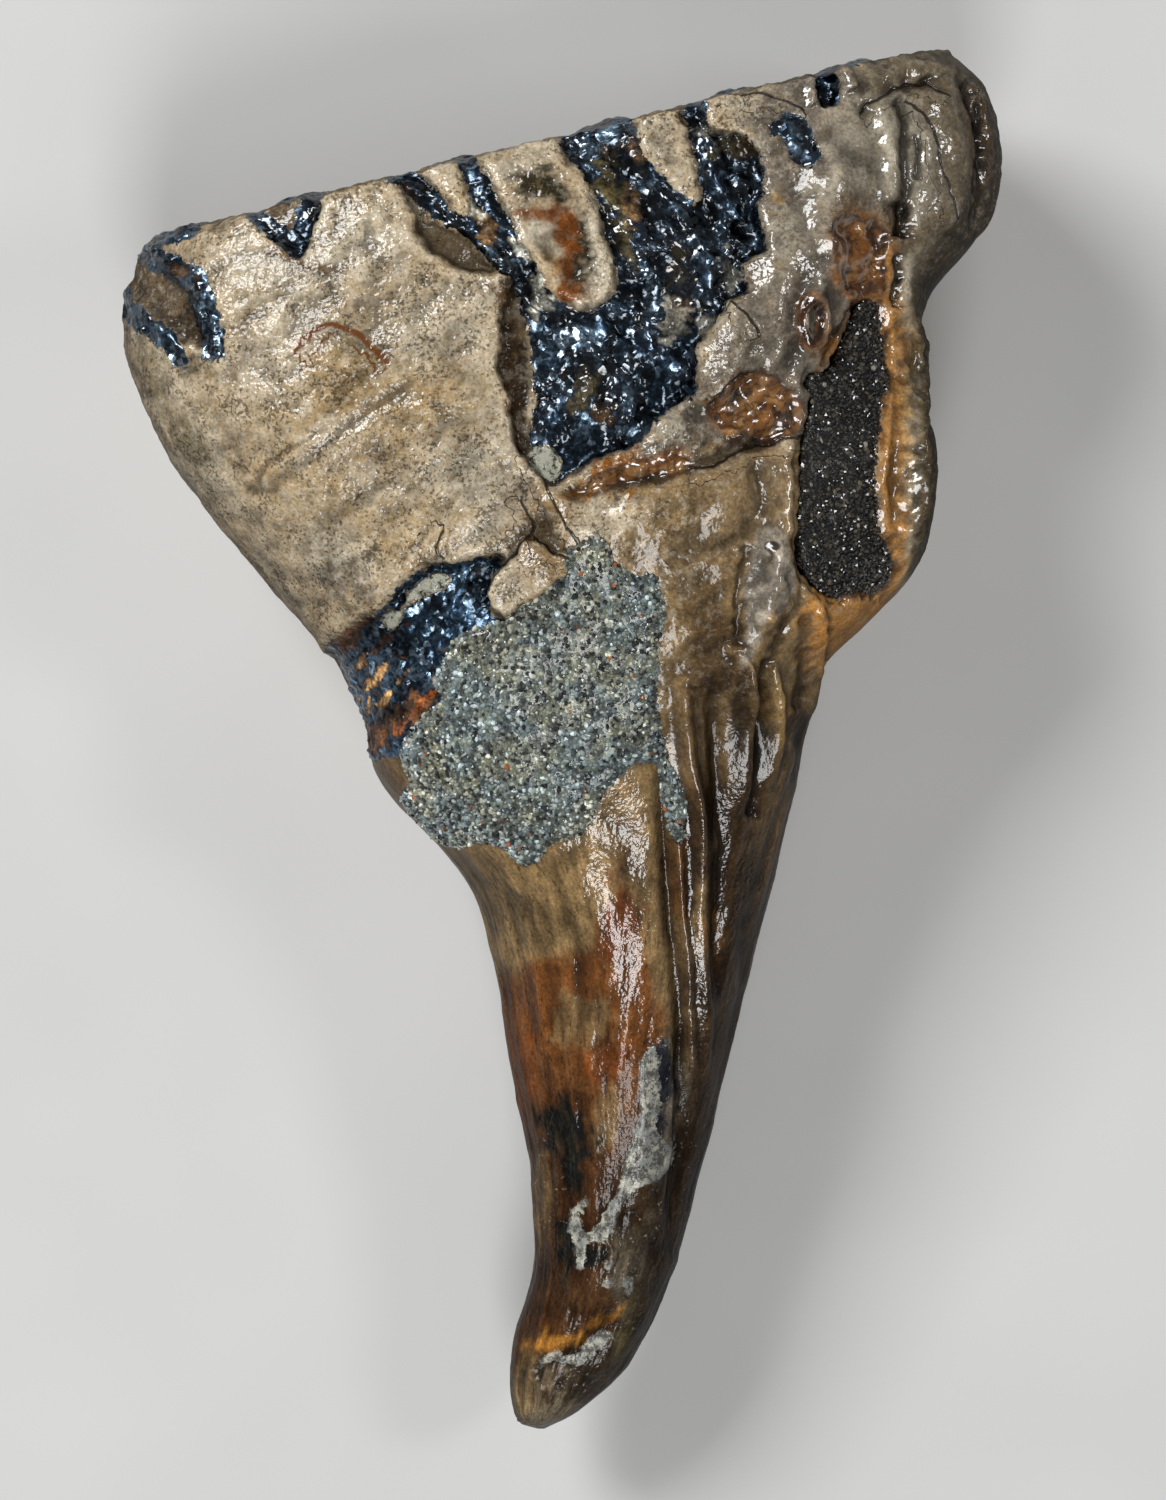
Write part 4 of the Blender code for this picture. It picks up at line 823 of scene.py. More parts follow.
# Stains on that side, by colour: x and y, reach each way, turn in degrees, and strength.
STAINS = (
    (PALE_TAN, (
        (-30, 68, 11, 6, 20, 0.6), (-40, 62, 7, 6, 0, 0.35), (-18, 58, 6, 8, 20, 0.4),
        (-48, 38, 5, 8, 30, 0.5), (-14, 40, 6, 7, 0, 0.5), (-30, 26, 7, 5, -30, 0.6),
        (-22, 33, 6, 4, 0, 0.3), (-12, 34, 5, 6, 0, 0.5), (-11, 54, 2.4, 9, 0, 0.5), (6, 31, 6, 3, 10, 0.6),
        (14, 43.5, 3, 2.4, 20, 0.4), (41, 82, 6, 7, 0, 0.4), (47.4, 63.6, 0.7, 4.4, 0, 0.8),
        (34, 71, 4, 9, -30, 0.3), (-56, 60, 5, 5, 0, 0.4),
    )),
    (OCHRE, (
        (-29.5, 50, 6, 5, 20, 0.6), (-22, 45, 6, 8, -30, 0.45), (-14, 46, 5, 6, 0, 0.35),
        (-20, 30, 8, 5, 10, 0.45), (-40, 42, 9, 5, 40, 0.4), (-34, 34, 6, 5, 0, 0.35),
        (-31, 10, 1.2, 6, -10, 0.4), (31, 8, 1.6, 8, -4, 0.6), (-5, -89, 1.6, 6, -4, 0.45),
        (29.4, 74.8, 0.9, 0.7, 0, 0.9), (48, 52, 0.8, 8, -4, 0.6),
    )),
    (OLIVE, (
        (-51, 42, 2.6, 5, 30, 0.55), (-56, 51, 2.4, 5, 20, 0.5), (-50, 52.5, 6, 1.6, -20, 0.5),
        (-27.5, 54, 3, 2, 0, 0.5), (6.6, 70, 1.0, 6, 20, 0.8), (8, -84, 2, 6, -20, 0.6),
        (42, 87, 3, 1.4, 30, 0.5),
    )),
    (GREY_TAN, ((28.6, 23, 3, 5, 10, 0.8), (24, -34, 1.4, 3, 0, 0.5), (16, -2, 0.9, 8, 0, 0.3))),
    (BROWN, (
        (-8, 61.5, 1.6, 2.4, 20, 0.9), (-36, 66.2, 4, 1.4, -25, 0.9), (-31.5, 64.8, 2.4, 0.8, -8, 0.8),
        (-24, -4, 3, 4, 0, 0.8), (20, 21, 3, 9, -10, 0.5), (21, 13, 5, 7, -6, 0.75),
        (18, 4, 2.6, 12, 0, 0.5), (39, 74, 4, 1.6, 20, 0.7), (3, -76, 4, 3, 0, 0.4),
        (-3.4, -87, 2.8, 6, 0, 0.6), (46, 71.5, 2.2, 3, 0, 0.85), (58, 84, 2.4, 9, 0, 0.5),
        (33.4, 66, 1, 5, -30, 0.4),
    )),
    (DARK_BROWN, (
        (-30.3, 23.4, 3, 3.4, 20, 0.6), (-27.5, 20.5, 3, 2, 30, 0.5), (-17.5, 25.6, 2.2, 0.9, 10, 0.8),
        (-27.6, 17.5, 3, 0.8, 35, 0.8), (28.8, 27.2, 1.1, 0.8, 0, 1.0), (28.4, 26.2, 0.5, 1.0, 0, 0.9),
        (24.8, 3, 1.6, 9, 0, 0.8), (25.4, -22, 1.6, 12, -6, 0.6), (4.8, -71, 2.4, 1.8, 0, 0.85),
        (10, -68, 3, 5, 20, 0.6), (5, -79.5, 2, 1.6, 0, 0.5), (3.6, -88, 5.4, 6.4, -20, 0.9),
        (16, -62, 3, 12, -6, 0.8), (19.6, -40, 1.2, 16, -4, 0.5), (-0.4, -54, 2.4, 5, 10, 0.5),
        (38.4, 71.8, 2.4, 1.2, 0, 0.8), (46.4, 73.6, 1.8, 1.6, 0, 0.8), (56.6, 69, 1.2, 3, 0, 0.7),
        (57.5, 84, 0.7, 8, 0, 0.85), (60.4, 82, 0.5, 7, 0, 0.6), (48.8, 80.6, 0.4, 2.2, 0, 0.9),
    )),
    (ORANGE, (
        (36.9, 54.6, 1.0, 2.8, -28, 0.95), (-1, 65.6, 1.0, 2, 15, 0.6), (26.5, 47.2, 4, 2.6, 10, 0.35),
        (24, 43.4, 3.4, 0.7, 14, 0.8), (44.6, 65.4, 0.7, 3.4, 0, 0.7), (36, 14, 4, 5, -30, 0.5),
        (21, -26, 1.6, 5, 6, 0.65), (0, -83.4, 5.4, 1.2, 6, 0.7), (5.6, -80.2, 2.6, 1.1, 20, 0.7),
    )),
    (RUST, (
        (-0.2, 72.4, 1.2, 3.8, 22, 0.9), (1.4, 67.6, 1.3, 3.2, 15, 0.95), (9.5, 34.4, 0.4, 2.2, 0, 0.8),
        (16, -16, 2, 8, 0, 0.45), (26.4, 45, 2.6, 2, 10, 0.6), (-3.3, 64.1, 0.5, 0.9, 20, 0.7),
    )),
    (AMBER, ((30, 43.2, 3.2, 0.9, 12, 0.8), (6.2, 37.2, 2.2, 1.6, 0, 0.9), (40, 62, 2, 1.4, 0, 0.5))),
    (RUST_RED, (
        (8, -25, 2.4, 6, -8, 0.8), (6, -43.6, 4, 2.6, 20, 0.7), (-6, -46, 3, 9, -6, 0.5),
        (8.4, -15, 1.4, 6, -20, 0.3),
    )),
    (KHAKI, (
        (2.6, -37.4, 4.6, 3.6, 20, 0.75), (6.4, -52, 2.2, 5, -10, 0.6), (-3, -62, 2.2, 8, -4, 0.5),
        (30, -8, 3, 12, -8, 0.25), (19.6, -24, 1.5, 9, 0, 0.6),
    )),
    (DEEP_AMBER, (
        (10.8, 37.4, 2.6, 1.0, 10, 0.95), (4.4, 35.8, 2.4, 0.7, 10, 0.9), (14.6, 38.6, 2.4, 0.5, 10, 0.8),
        (27.6, 41.9, 4.4, 0.5, 6, 0.8), (21, 47.4, 0.9, 2, 30, 0.7), (1.9, 70, 0.6, 3, 15, 0.8),
        (40.6, 60.6, 2, 0.7, 0, 0.8),
    )),
    (CHIP_BLUE, ((31.8, 44.6, 1.5, 1.8, 0, 0.95),)),
    (FOLD_TAN, ((48.9, 42, 0.8, 15, 0, 0.7),)),
    (RESIN_BROWN, (
        (5.6, 37.4, 2.4, 2.2, 0, 1.0), (9.4, 38.2, 3.0, 1.8, 10, 0.9), (13.6, 38.8, 3.6, 1.4, 14, 0.95),
        (3.4, 35.4, 2.6, 1.0, 10, 1.0), (9.4, 34.6, 0.6, 1.8, 0, 1.0), (26.6, 47.0, 5.0, 3.4, 14, 0.75),
        (40.6, 66.8, 3.6, 4.8, 0, 0.8), (22.0, 44.6, 1.6, 2.6, 20, 0.6),
    )),
    (RESIN_DARK, (
        (10.9, 37.5, 1.4, 0.9, 0, 1.0), (6.4, 36.2, 2.4, 0.5, 4, 0.9), (14.0, 37.6, 3.0, 0.4, 10, 0.9),
        (20.6, 46.6, 0.7, 2.6, 34, 0.9), (26.0, 42.4, 6.0, 0.5, 9, 0.9), (38.4, 70.6, 2.8, 0.9, 10, 0.9),
        (43.9, 66.0, 0.5, 4.6, 0, 0.8), (40.0, 63.4, 1.6, 0.8, 0, 0.7), (29.6, 45.6, 0.6, 2.0, 30, 0.8),
    )),
    (STRIP_BROWN, (
        (-6.4, 54.0, 1.5, 5.0, 0, 1.0), (-6.0, 46.0, 1.4, 6.0, 8, 1.0), (-7.4, 61.0, 1.0, 2.4, 20, 0.9),
        (-4.8, 40.6, 1.2, 2.4, 20, 0.9),
    )),
    (DARK_BROWN, (
        (-5.0, 50.0, 0.5, 8.0, 0, 0.9), (-7.9, 55.0, 0.5, 5.0, 0, 0.8), (-7.6, 62.6, 0.9, 1.6, 20, 0.9),
    )),
    (PALE_TAN, (
        (-3.0, 70.8, 2.2, 2.2, 20, 1.0), (-7.4, 78.4, 2.6, 1.8, 20, 0.6), (5.2, 66.4, 1.0, 6.0, 14, 1.0),
    )),
    (BURNT_ORANGE, (
        (-4.2, 72.6, 2.2, 1.3, 0, 0.9), (-1.0, 72.6, 2.4, 1.9, 0, 1.0), (1.0, 70.0, 2.2, 3.0, 24, 1.0),
        (1.6, 66.6, 2.1, 3.8, 0, 1.0), (1.2, 63.0, 1.8, 2.4, 0, 1.0),
    )),
    (BURNT_OLIVE, (
        (-2.4, 76.2, 4.0, 2.4, -10, 1.0), (-2.6, 78.8, 1.6, 0.9, 0, 0.9), (3.5, 67.6, 1.0, 4.4, 10, 1.0),
        (2.4, 64.6, 0.9, 2.2, 0, 1.0), (-1.6, 66.6, 1.0, 1.6, 20, 0.7),
    )),
    (NEAR_BLACK, (
        (34.2, 49.8, 1.5, 1.5, 0, 0.85), (46.2, 64, 0.35, 3, 0, 0.95), (0.6, -53.2, 3.8, 5.4, 20, 1.0),
        (1.6, -58.6, 2.2, 3.4, 0, 1.0), (2.8, -56.6, 1.6, 2, 0, 0.8), (1.2, -69.0, 2.6, 4.0, 0, 1.0),
        (4.6, -71.0, 2.2, 1.6, 0, 1.0),
    )),
    (GAP_BLUE, (
        (14.0, -45.4, 1.9, 6.0, 0, 1.0), (13.4, -52.0, 2.0, 3.4, 0, 1.0), (11.0, -57.0, 1.2, 1.4, 0, 1.0),
    )),
    (ROOT_BROWN, (
        (10.6, -63.4, 3.0, 4.0, -30, 0.9), (20.6, -30.0, 1.0, 14.0, 0, 0.6),
        (23.6, -38.0, 1.6, 16.0, 6, 0.6),
    )),
)

# Stains on the bare enamel, in the same way.
GLASS_STAINS = (
    (STEEL, (
        (4.2, 81.5, 1.8, 1.2, 0, 0.7), (7.4, 84, 2.6, 1.2, 10, 0.7), (1, 55.3, 3, 2, 0, 0.8),
        (3.1, 43.2, 2, 1, 0, 0.5), (9, 48, 0.6, 2.6, 10, 0.7), (12.6, 60, 1.4, 2.4, 20, 0.4),
        (-14.6, 77, 1.6, 3, 35, 0.4), (31.6, 83, 1.4, 2, 0, 0.6), (23, 78, 1, 3, 10, 0.3),
        (-37, 69.6, 1.2, 2, 0, 0.5), (-47.4, 60, 0.7, 5, 12, 0.7),
    )),
    (OLIVE, (
        (7.0, 76.0, 1.8, 5.0, 24, 0.6), (3.1, 49.1, 1.9, 2.8, 0, 0.4), (8.8, 69.5, 1.2, 4.2, 16, 0.5),
        (24, 82, 3.4, 1.8, 0, 0.5), (16, 66, 1.6, 2.6, 0, 0.25),
    )),
    (BROWN, (
        (5.5, 45.4, 1.2, 1.3, 0, 0.9), (25.6, 82.9, 2, 1.6, 0, 0.7), (9, 82.6, 1.2, 1.6, 0, 0.5),
        (-20.6, 75.4, 0.6, 2, 40, 0.4), (-52, 65.6, 2, 0.6, -30, 0.6),
    )),
    (STREAK_TAN, (
        (9.6, 73.4, 1.0, 2.6, 20, 0.6), (11.4, 81.0, 1.4, 1.2, 0, 0.5), (6.4, 81.8, 1.2, 1.0, 0, 0.5),
        (16.0, 59.4, 1.6, 2.0, 0, 0.5), (-10.4, 71.0, 1.0, 3.0, 35, 0.6),
    )),
    (CREAM, (
        (15.4, 58.2, 1.9, 2.4, 0, 0.55), (22.6, 64.6, 1, 2.6, 0, 0.5), (19.4, 57.6, 1, 1.6, 0, 0.5),
        (-13, 74.4, 1, 3, 35, 0.8), (-4.9, 67.3, 1.1, 3, 35, 0.8), (-3, 62, 1.4, 3.2, 10, 0.9),
        (23, 84.4, 4, 0.8, 10, 0.5),
    )),
    (STREAK_TAN, (
        (-25.5, 9.8, 0.5, 2.8, -43, 0.9), (-24.2, 6.8, 0.5, 2.6, -48, 0.95),
        (-27.4, 12.2, 0.4, 1.6, -30, 0.6), (-22.4, 9.0, 0.3, 1.8, -44, 0.6),
        (-26.8, 5.6, 0.3, 1.2, -10, 0.7),
    )),
    (STREAK_BROWN, (
        (-20.4, 5.2, 1.8, 4.4, -55, 0.95), (-29.8, 15.6, 1.6, 2.6, -50, 0.8),
        (-25.6, 1.6, 1.6, 2.6, -30, 0.85), (-27.0, 17.6, 0.8, 2.4, -52, 0.8),
        (-24.4, 14.4, 0.5, 3.4, -50, 0.5),
    )),
    (RUST_RED, ((-18.8, 6.6, 0.4, 2.6, -50, 0.8), (-21.8, 3.2, 0.3, 1.6, -40, 0.6))),
)
CREAM_GAPS = (  # where the root shows dark through the cream cement on it
    (14.0, -45.6, 1.4, 5.2, 0), (13.8, -52.4, 1.7, 3.2, 0), (11.0, -57.0, 0.8, 1.0, 0),
    (10.6, -63.0, 2.0, 3.0, -30), (7.4, -69.6, 1.0, 1.6, 0),
)
FLECKED = (  # where pale flecks lie on the root
    (2.6, -88.0, 3.6, 4.6, 0), (11.0, -66.0, 3.4, 5.0, -20), (17.6, -58.0, 1.2, 9.0, 0),
    (9.0, -76.0, 2.2, 5.0, 0), (-2.6, -62.0, 2.6, 7.0, 0), (14.0, -52.0, 2.0, 8.0, 0),
)
CRACKS = (
    ((-4.3, 40.0), (-2.0, 35.7), (-1.2, 34.1), (0.4, 30.4), (2.6, 27.4)),
    ((-5.4, 34.6), (-4.7, 32.0), (-3.9, 29.7), (-6.2, 26.7), (-8.0, 24.8)),
    ((-3.9, 28.4), (-1.3, 26.8), (1.4, 25.2)),
    ((-15.7, 30.5), (-16.7, 28.2), (-17.2, 26.7), (-15.5, 25.2)),
    ((17.0, 37.9), (20.3, 38.4), (23.5, 40.0), (26.7, 41.4), (29.9, 41.9), (33.1, 42.7)),
    ((47.1, 88.7), (50.4, 85.9), (52.6, 78.7), (54.5, 72.1)),
    ((40.4, 85.9), (41.6, 87.6), (43.2, 88.7), (46.5, 90.4), (50.4, 90.9), (53.7, 89.2)),
    ((20.1, 46.6), (22.8, 49.6), (26.6, 51.0)),
    ((22.8, 60.6), (25.6, 58.4), (26.6, 55.4)),
    ((24.4, 88.4), (27.4, 89.4), (30.6, 88.2), (33.8, 86.8)),
)
ARC_CRACK = ((-36.3, 53.2), (-34.9, 55.6), (-32.6, 57.2), (-30.3, 57.2), (-27.5, 56.0), (-25.2, 54.2),
             (-22.8, 51.8))


def wash(ground, colour, share):
    """Blends a colour into the ground colour by a share for each point."""
    ground += share[:, None] * (colour - ground)


def spot_share(x, y, spot_x, spot_y, reach_x, reach_y, turn):
    """1 in the middle of a soft oval spot, falling to 0."""
    c, s = math.cos(math.radians(turn)), math.sin(math.radians(turn))
    dx, dy = x - spot_x, y - spot_y
    return np.exp(-(((c * dx + s * dy) / reach_x) ** 2 + ((c * dy - s * dx) / reach_y) ** 2) ** 1.5)


def stain(ground, stains, rx, ry, up, breaks):
    """Blends stains in, their edges broken by an uneven value about 0."""
    for colour, spots in stains:
        for *spot, strength in spots:
            near = spot_share(rx, ry, *spot)
            broken = (near - 0.3 + breaks * (near > 0.01)) * 1.8 + 0.3 * near
            wash(ground, colour, up * strength * smooth(broken))


def ground_colour(points, rx, ry, up):
    """The broad colour of every point, before specks, streaks and bare enamel."""
    ground = np.tile(TAN, (len(points), 1))
    root = smooth((6.0 - points[:, 1]) / 26.0)
    wash(ground, OCHRE, 0.35 * smooth(0.5 + 1.4 * swell(points, 9.0, 51)))
    wash(ground, OLIVE, 0.12 * smooth(1.6 * swell(points, 14.0, 52)))
    wash(ground, ROOT_BROWN, 0.9 * root * (1 - up))
    wash(ground, RUST, root * (1 - up) * smooth(0.3 + 1.5 * swell(points, 11.0, 53)))
    wash(ground, BROWN, (1 - up) * 0.5 * (1 - root) * smooth(0.2 + 1.5 * swell(points, 12.0, 54)))
    uneven = 1.2 * swell(points, 3.5, 59)
    for colour, outline, blur, strength in ZONES:
        edge = inside_distance(rx, ry, outline, 9.0) + uneven * min(blur, 2.0)
        wash(ground, colour, up * strength * smooth(edge / (2 * blur) + 0.5))
    # Everything is darker towards the root's tip.
    ground *= (1 - 0.6 * smooth((-38.0 - ry) / 24.0))[:, None]
    stain(ground, STAINS, rx, ry, up, 0.7 * swell(points, 2.2, 55) + 0.4 * swell(points, 0.9, 56))
    ring = drip_ring(rx, ry)
    wash(ground, RESIN_BROWN, up * 0.9 * smooth(2.3 - ring))
    wash(ground, RESIN_DARK, up * np.exp(-(((ring - 1.05) / 0.34) ** 2)))
    wash(ground, PALE_TAN, up * smooth(2.0 - 2.0 * ring))
    return ground


def hollow_depth(obj, points, rounds):
    """How far each point lies under the level of the surface around it, in millimetres."""
    edges = np.empty(2 * len(obj.data.edges), np.int32)
    obj.data.edges.foreach_get("vertices", edges)
    a, b = edges.reshape(-1, 2).T
    count = len(points)
    beside = (np.bincount(a, minlength=count) + np.bincount(b, minlength=count))[:, None]
    level = points
    for _ in range(rounds):
        total = [np.bincount(a, level[b, i], count) + np.bincount(b, level[a, i], count) for i in range(3)]
        level = 0.4 * level + 0.6 * np.stack(total, axis=1) / beside
    normals = np.empty(3 * count, np.float32)
    obj.data.vertices.foreach_get("normal", normals)
    return np.sum((level - points) * normals.reshape(-1, 3), axis=1)


def crack_side(x, y, lines):
    """Distance to the nearest crack, below 0 on its right; 2 where none is near."""
    result = np.full(x.shape, 2.0)
    for line in lines:
        curve = spline(line, 5 * len(line))
        near = within(x, y, curve, 2.0)
        far, place = segments_distance(x[near], y[near], curve)
        far = np.where((place <= 0) | (place >= 1), 2.0, far)
        result[near] = np.where(np.abs(far) < np.abs(result[near]), far, result[near])
    return result


def lacquer_gloss(x, y, front, neck, root):
    """How thick the lacquer lies, from 0 to 1: thickest at the front and on the root's upper half."""
    lower = smooth((-33 - y) / 14)
    root_front = smooth((x - 18 + 6 * lower) / 6)
    gloss = 0.44 + 0.4 * front - 0.04 * neck - 0.4 * spot_share(x, y, 33.0, 77.0, 6.0, 7.0, 0)
    gloss += root * (0.24 - 0.42 * lower - (0.2 - 0.08 * lower) * root_front)
    gloss -= 0.4 * smooth((x - 48.6) / 1.4) * smooth((62 - y) / 4)
    return gloss - 0.12 * spot_share(x, y, -35.0, 62.0, 16.0, 12.0, 0)


def paint(obj):
    """Stores where each finish of the tooth lies, as attributes of its points."""
    points = mesh_points(obj)
    x, y, z = points.T
    rx, ry = ragged(points, amount=0.5)
    places = root_places(x, y, z)
    up = smooth(places[:, 2] / 6.0 + 0.2)
    root = smooth((14.0 - y) / 22.0)

    def shown(values, elsewhere=-4.0):
        """The values on the side that faces up, and one value on the other."""
        return np.where(up > 0.5, values, elsewhere)

    along, across, depth, _ = chewing_places(points)
    loops = chewing_loops(along, across)
    chewing = depth - 0.7 - 0.8 * swell(points, 3.0, 61)
    worn_enamel = np.minimum(ENAMEL / 2 - np.abs(loops + ENAMEL / 2), -chewing)
    reach_down = 5.0 * (up - 0.5) + 1.6 * swell(points, 3.0, 62)
    enamel = np.minimum(enamel_inside(rx, ry), reach_down)
    set_attribute(obj, "enamel", np.maximum(enamel, worn_enamel))

    ground = ground_colour(points, rx, ry, up)
    hearts = [shown(inside_distance(rx, ry, heart)) for heart in (PLATE_1_HEART, PLATE_2_HEART)]
    for distance in (np.minimum(-loops - ENAMEL, -chewing), *hearts):
        wash(ground, HEART_BROWN, 0.9 * smooth(distance / 0.8 + 0.5))
    glass = np.tile(NIGHT_BLUE, (len(x), 1))
    stain(glass, GLASS_STAINS, rx, ry, up, 1.0 * swell(points, 1.8, 57) + 0.9 * swell(points, 0.8, 58))
    set_attribute(obj, "ground", np.column_stack([ground, np.ones(len(x))]))
    set_attribute(obj, "glass", np.column_stack([glass, np.ones(len(x))]))

    ring = drip_ring(rx, ry)
    resin = np.maximum(inside_any(rx, ry, AMBER_POCKETS), 1.2 * (1.5 - ring) - 3.0 * smooth(1.5 - 2.0 * ring))
    set_attribute(obj, "resin", shown(resin))
    front = smooth((x - 24) / 8) * smooth((y - 4) / 8)
    neck = smooth((x + 4) / 6) * smooth((40 - y) / 5) * smooth((y + 10) / 12)
    smoothness = np.max([0.75 * smooth(resin / 1.5 + 0.6), 0.45 * front, 0.55 * neck], axis=0)
    set_attribute(obj, "peel", 1 - up * smoothness)
    wet = np.max([resin / 0.8 + 0.6, enamel + 0.8, 0 * x], axis=0).clip(0, 1)
    set_attribute(obj, "gloss", np.maximum(lacquer_gloss(x, y, front, neck, root), wet))

    crumbs = inside_any(rx, ry, BLACK_WINDOW_CREAM + (MATRIX_BIT,))
    bare = -inside_any(rx, ry, BLACK_WINDOW_CREAM + (FLAKE_ISLAND,))
    black = np.min([inside_distance(rx, ry, BLACK_WINDOW), bare, reach_down], axis=0)
    set_attribute(obj, "black", black)
    set_attribute(obj, "matrix", shown(crumbs))
    thin = np.max([spot_share(rx, ry, *spot) for spot in CREAM_GAPS], axis=0)
    set_attribute(obj, "cream", shown(inside_any(rx, ry, PALE_SMEARS) - 2.4 * thin))
    flecks = np.max([spot_share(rx, ry, *spot) for spot in FLECKED], axis=0)
    set_attribute(obj, "flecked", up * flecks)
    set_attribute(obj, "crack", shown(crack_side(rx, ry, CRACKS), 2.0))
    set_attribute(obj, "arc", shown(crack_side(rx, ry, (ARC_CRACK,)), 2.0))

    calm = 1 - 0.75 * spot_share(x, y, 0.0, 69.0, 5.0, 10.0, 15)
    set_attribute(obj, "speckled", calm * (1 - root) * (1 - 0.6 * up * smooth((x + 2 - 0.3 * y) / 20.0)))
    set_attribute(obj, "streaked", np.maximum(root, 0.45 * up * smooth((x + 4) / 6) * smooth((42 - y) / 6)))
    set_attribute(obj, "grain", places * (1.0, 0.1, 1.0))
    # How deep each point lies in small and in broad hollows: the finish paints shade by these, and the broad
    # one also thins the lacquer.
    set_attribute(obj, "pit", hollow_depth(obj, points, 6))
    set_attribute(obj, "dip", hollow_depth(obj, points, 60))


paint(tooth)


class Finish:
    """A material built up from small steps. Sizes are in millimetres."""

    def __init__(self, name):
        """Starts with a plain shader."""
        self.material = bpy.data.materials.new(name)
        self.material.use_nodes = True
        self.nodes = self.material.node_tree.nodes
        self.links = self.material.node_tree.links
        self.shader = self.nodes["Principled BSDF"]
        self.place = self.add("TexCoord", {}, "Object")

    def add(self, kind, inputs, output=0, **settings):
        """A new node's output, with values or other outputs plugged into its inputs."""
        node = self.nodes.new("ShaderNode" + kind)
        for name, value in settings.items():
            setattr(node, name, value)
        for name, value in inputs.items():
            self.plug(node.inputs[name], value)
        return node.outputs[output]

    def plug(self, socket, value):
        """Links another node's output to a socket, or sets the socket's own value."""
        if isinstance(value, bpy.types.NodeSocket):
            self.links.new(value, socket)
        else:
            socket.default_value = value

    def attribute(self, name, output="Fac"):
        """What is stored under a name for each point of the mesh."""
        return self.add("Attribute", {}, output, attribute_name=name)

    def math(self, kind, value, *others):
        """One kind of sum, done on a value and each of the others in turn."""
        for other in others or (0.0,):
            value = self.add("Math", {0: value, 1: other}, operation=kind)
        return value

    def times(self, *values):
        """The product of the values."""
        return self.math("MULTIPLY", *values)

    def plus(self, *values):
        """The sum of the values."""
        return self.math("ADD", *values)

    def rest(self, share):
        """What is left of 1."""
        return self.math("SUBTRACT", 1.0, share)

    def part(self, vector, axis):
        """One axis of a vector or a colour."""
        return self.add("SeparateXYZ", {0: vector}, axis)

    def step(self, value, low, high, start=0.0, end=1.0):
        """Runs smoothly from start to end as the value goes from low to high."""
        inputs = {"Value": value, "From Min": low, "From Max": high, "To Min": start, "To Max": end}
        return self.add("MapRange", inputs, interpolation_type="SMOOTHSTEP")

    def noise(self, size, detail=2.0, place=None, roughness=0.55):
        """Uneven values about 0.5, with swellings of about one size."""
        scale = 1 / size if place else 1 / (size * MM)
        inputs = {"Vector": place or self.place, "Scale": scale, "Detail": detail, "Roughness": roughness}
        return self.add("TexNoise", inputs)

    def cells(self, size):
        """A colour by chance for each cell of about one size."""
        return self.add("TexVoronoi", {"Vector": self.place, "Scale": 1 / (size * MM)}, "Color")

    def mix(self, share, first, second, how="MIX"):
        """A colour between two colours."""
        first, second = (
            value if isinstance(value, bpy.types.NodeSocket) else (*value, 1.0) for value in (first, second)
        )
        return self.add("Mix", {0: share, 6: first, 7: second}, 2, data_type="RGBA", blend_type=how)

    def mix_value(self, share, first, second):
        """A number between two numbers."""
        return self.add("Mix", {0: share, 2: first, 3: second}, data_type="FLOAT")

    def shaded(self, colour, factor):
        """A colour made lighter or darker by a factor."""
        return self.add("VectorMath", {0: colour, "Scale": factor}, operation="SCALE")

    def uneven(self, colour, value, darkest, lightest, low=0.3, high=0.7):
        """A colour shaded by how far a value lies from low to high."""
        return self.shaded(colour, self.step(value, low, high, darkest, lightest))

    def stretched(self, places, shares):
        """Places multiplied along each axis, so that a pattern on them is squeezed that much."""
        return self.add("VectorMath", {0: places, 1: shares}, operation="MULTIPLY")

    def oval(self, x, y, reach_x, reach_y):
        """Places about a point seen from above: 0 in its middle, 1 at its reach."""
        place = self.add("VectorMath", {0: self.place, 1: (x * MM, y * MM, 0.0)}, operation="SUBTRACT")
        place = self.stretched(place, (1 / (reach_x * MM), 1 / (reach_y * MM), 0.0))
        return self.add("VectorMath", {0: place}, 1, operation="LENGTH")

    def grain_colour(self, shade, colours):
        """A colour for each grain, picked by its shade: where each colour starts, and its screen values."""
        ramp = self.nodes.new("ShaderNodeValToRGB")
        ramp.color_ramp.interpolation = "CONSTANT"
        stops = ramp.color_ramp.elements
        for index, (place, colour) in enumerate(colours):
            stop = stops.new(place) if index > 1 else stops[index]
            stop.position = place
            stop.color = (*screen(*colour), 1.0)
        self.links.new(shade, ramp.inputs[0])
        return ramp.outputs[0]

    def bump(self, height_mm):
        """The surface's slope under a height in millimetres."""
        return self.add("Bump", {"Height": height_mm, "Distance": MM, "Strength": 1.0})

    def sparkle(self, normal, cell, share):
        """Turns the surface a little in each cell, so that each catches the light by itself."""
        tilt = self.add("VectorMath", {0: cell, 1: (0.5, 0.5, 0.5)}, operation="SUBTRACT")
        tilt = self.add("VectorMath", {0: tilt, "Scale": share}, operation="SCALE")
        turned = self.add("VectorMath", {0: normal, 1: tilt}, operation="ADD")
        return self.add("VectorMath", {0: turned}, operation="NORMALIZE")

    def end(self, **values):
        """Plugs the last values into the shader."""
        for name, value in values.items():
            self.plug(self.shader.inputs[name.replace("_", " ")], value)
        return self.material


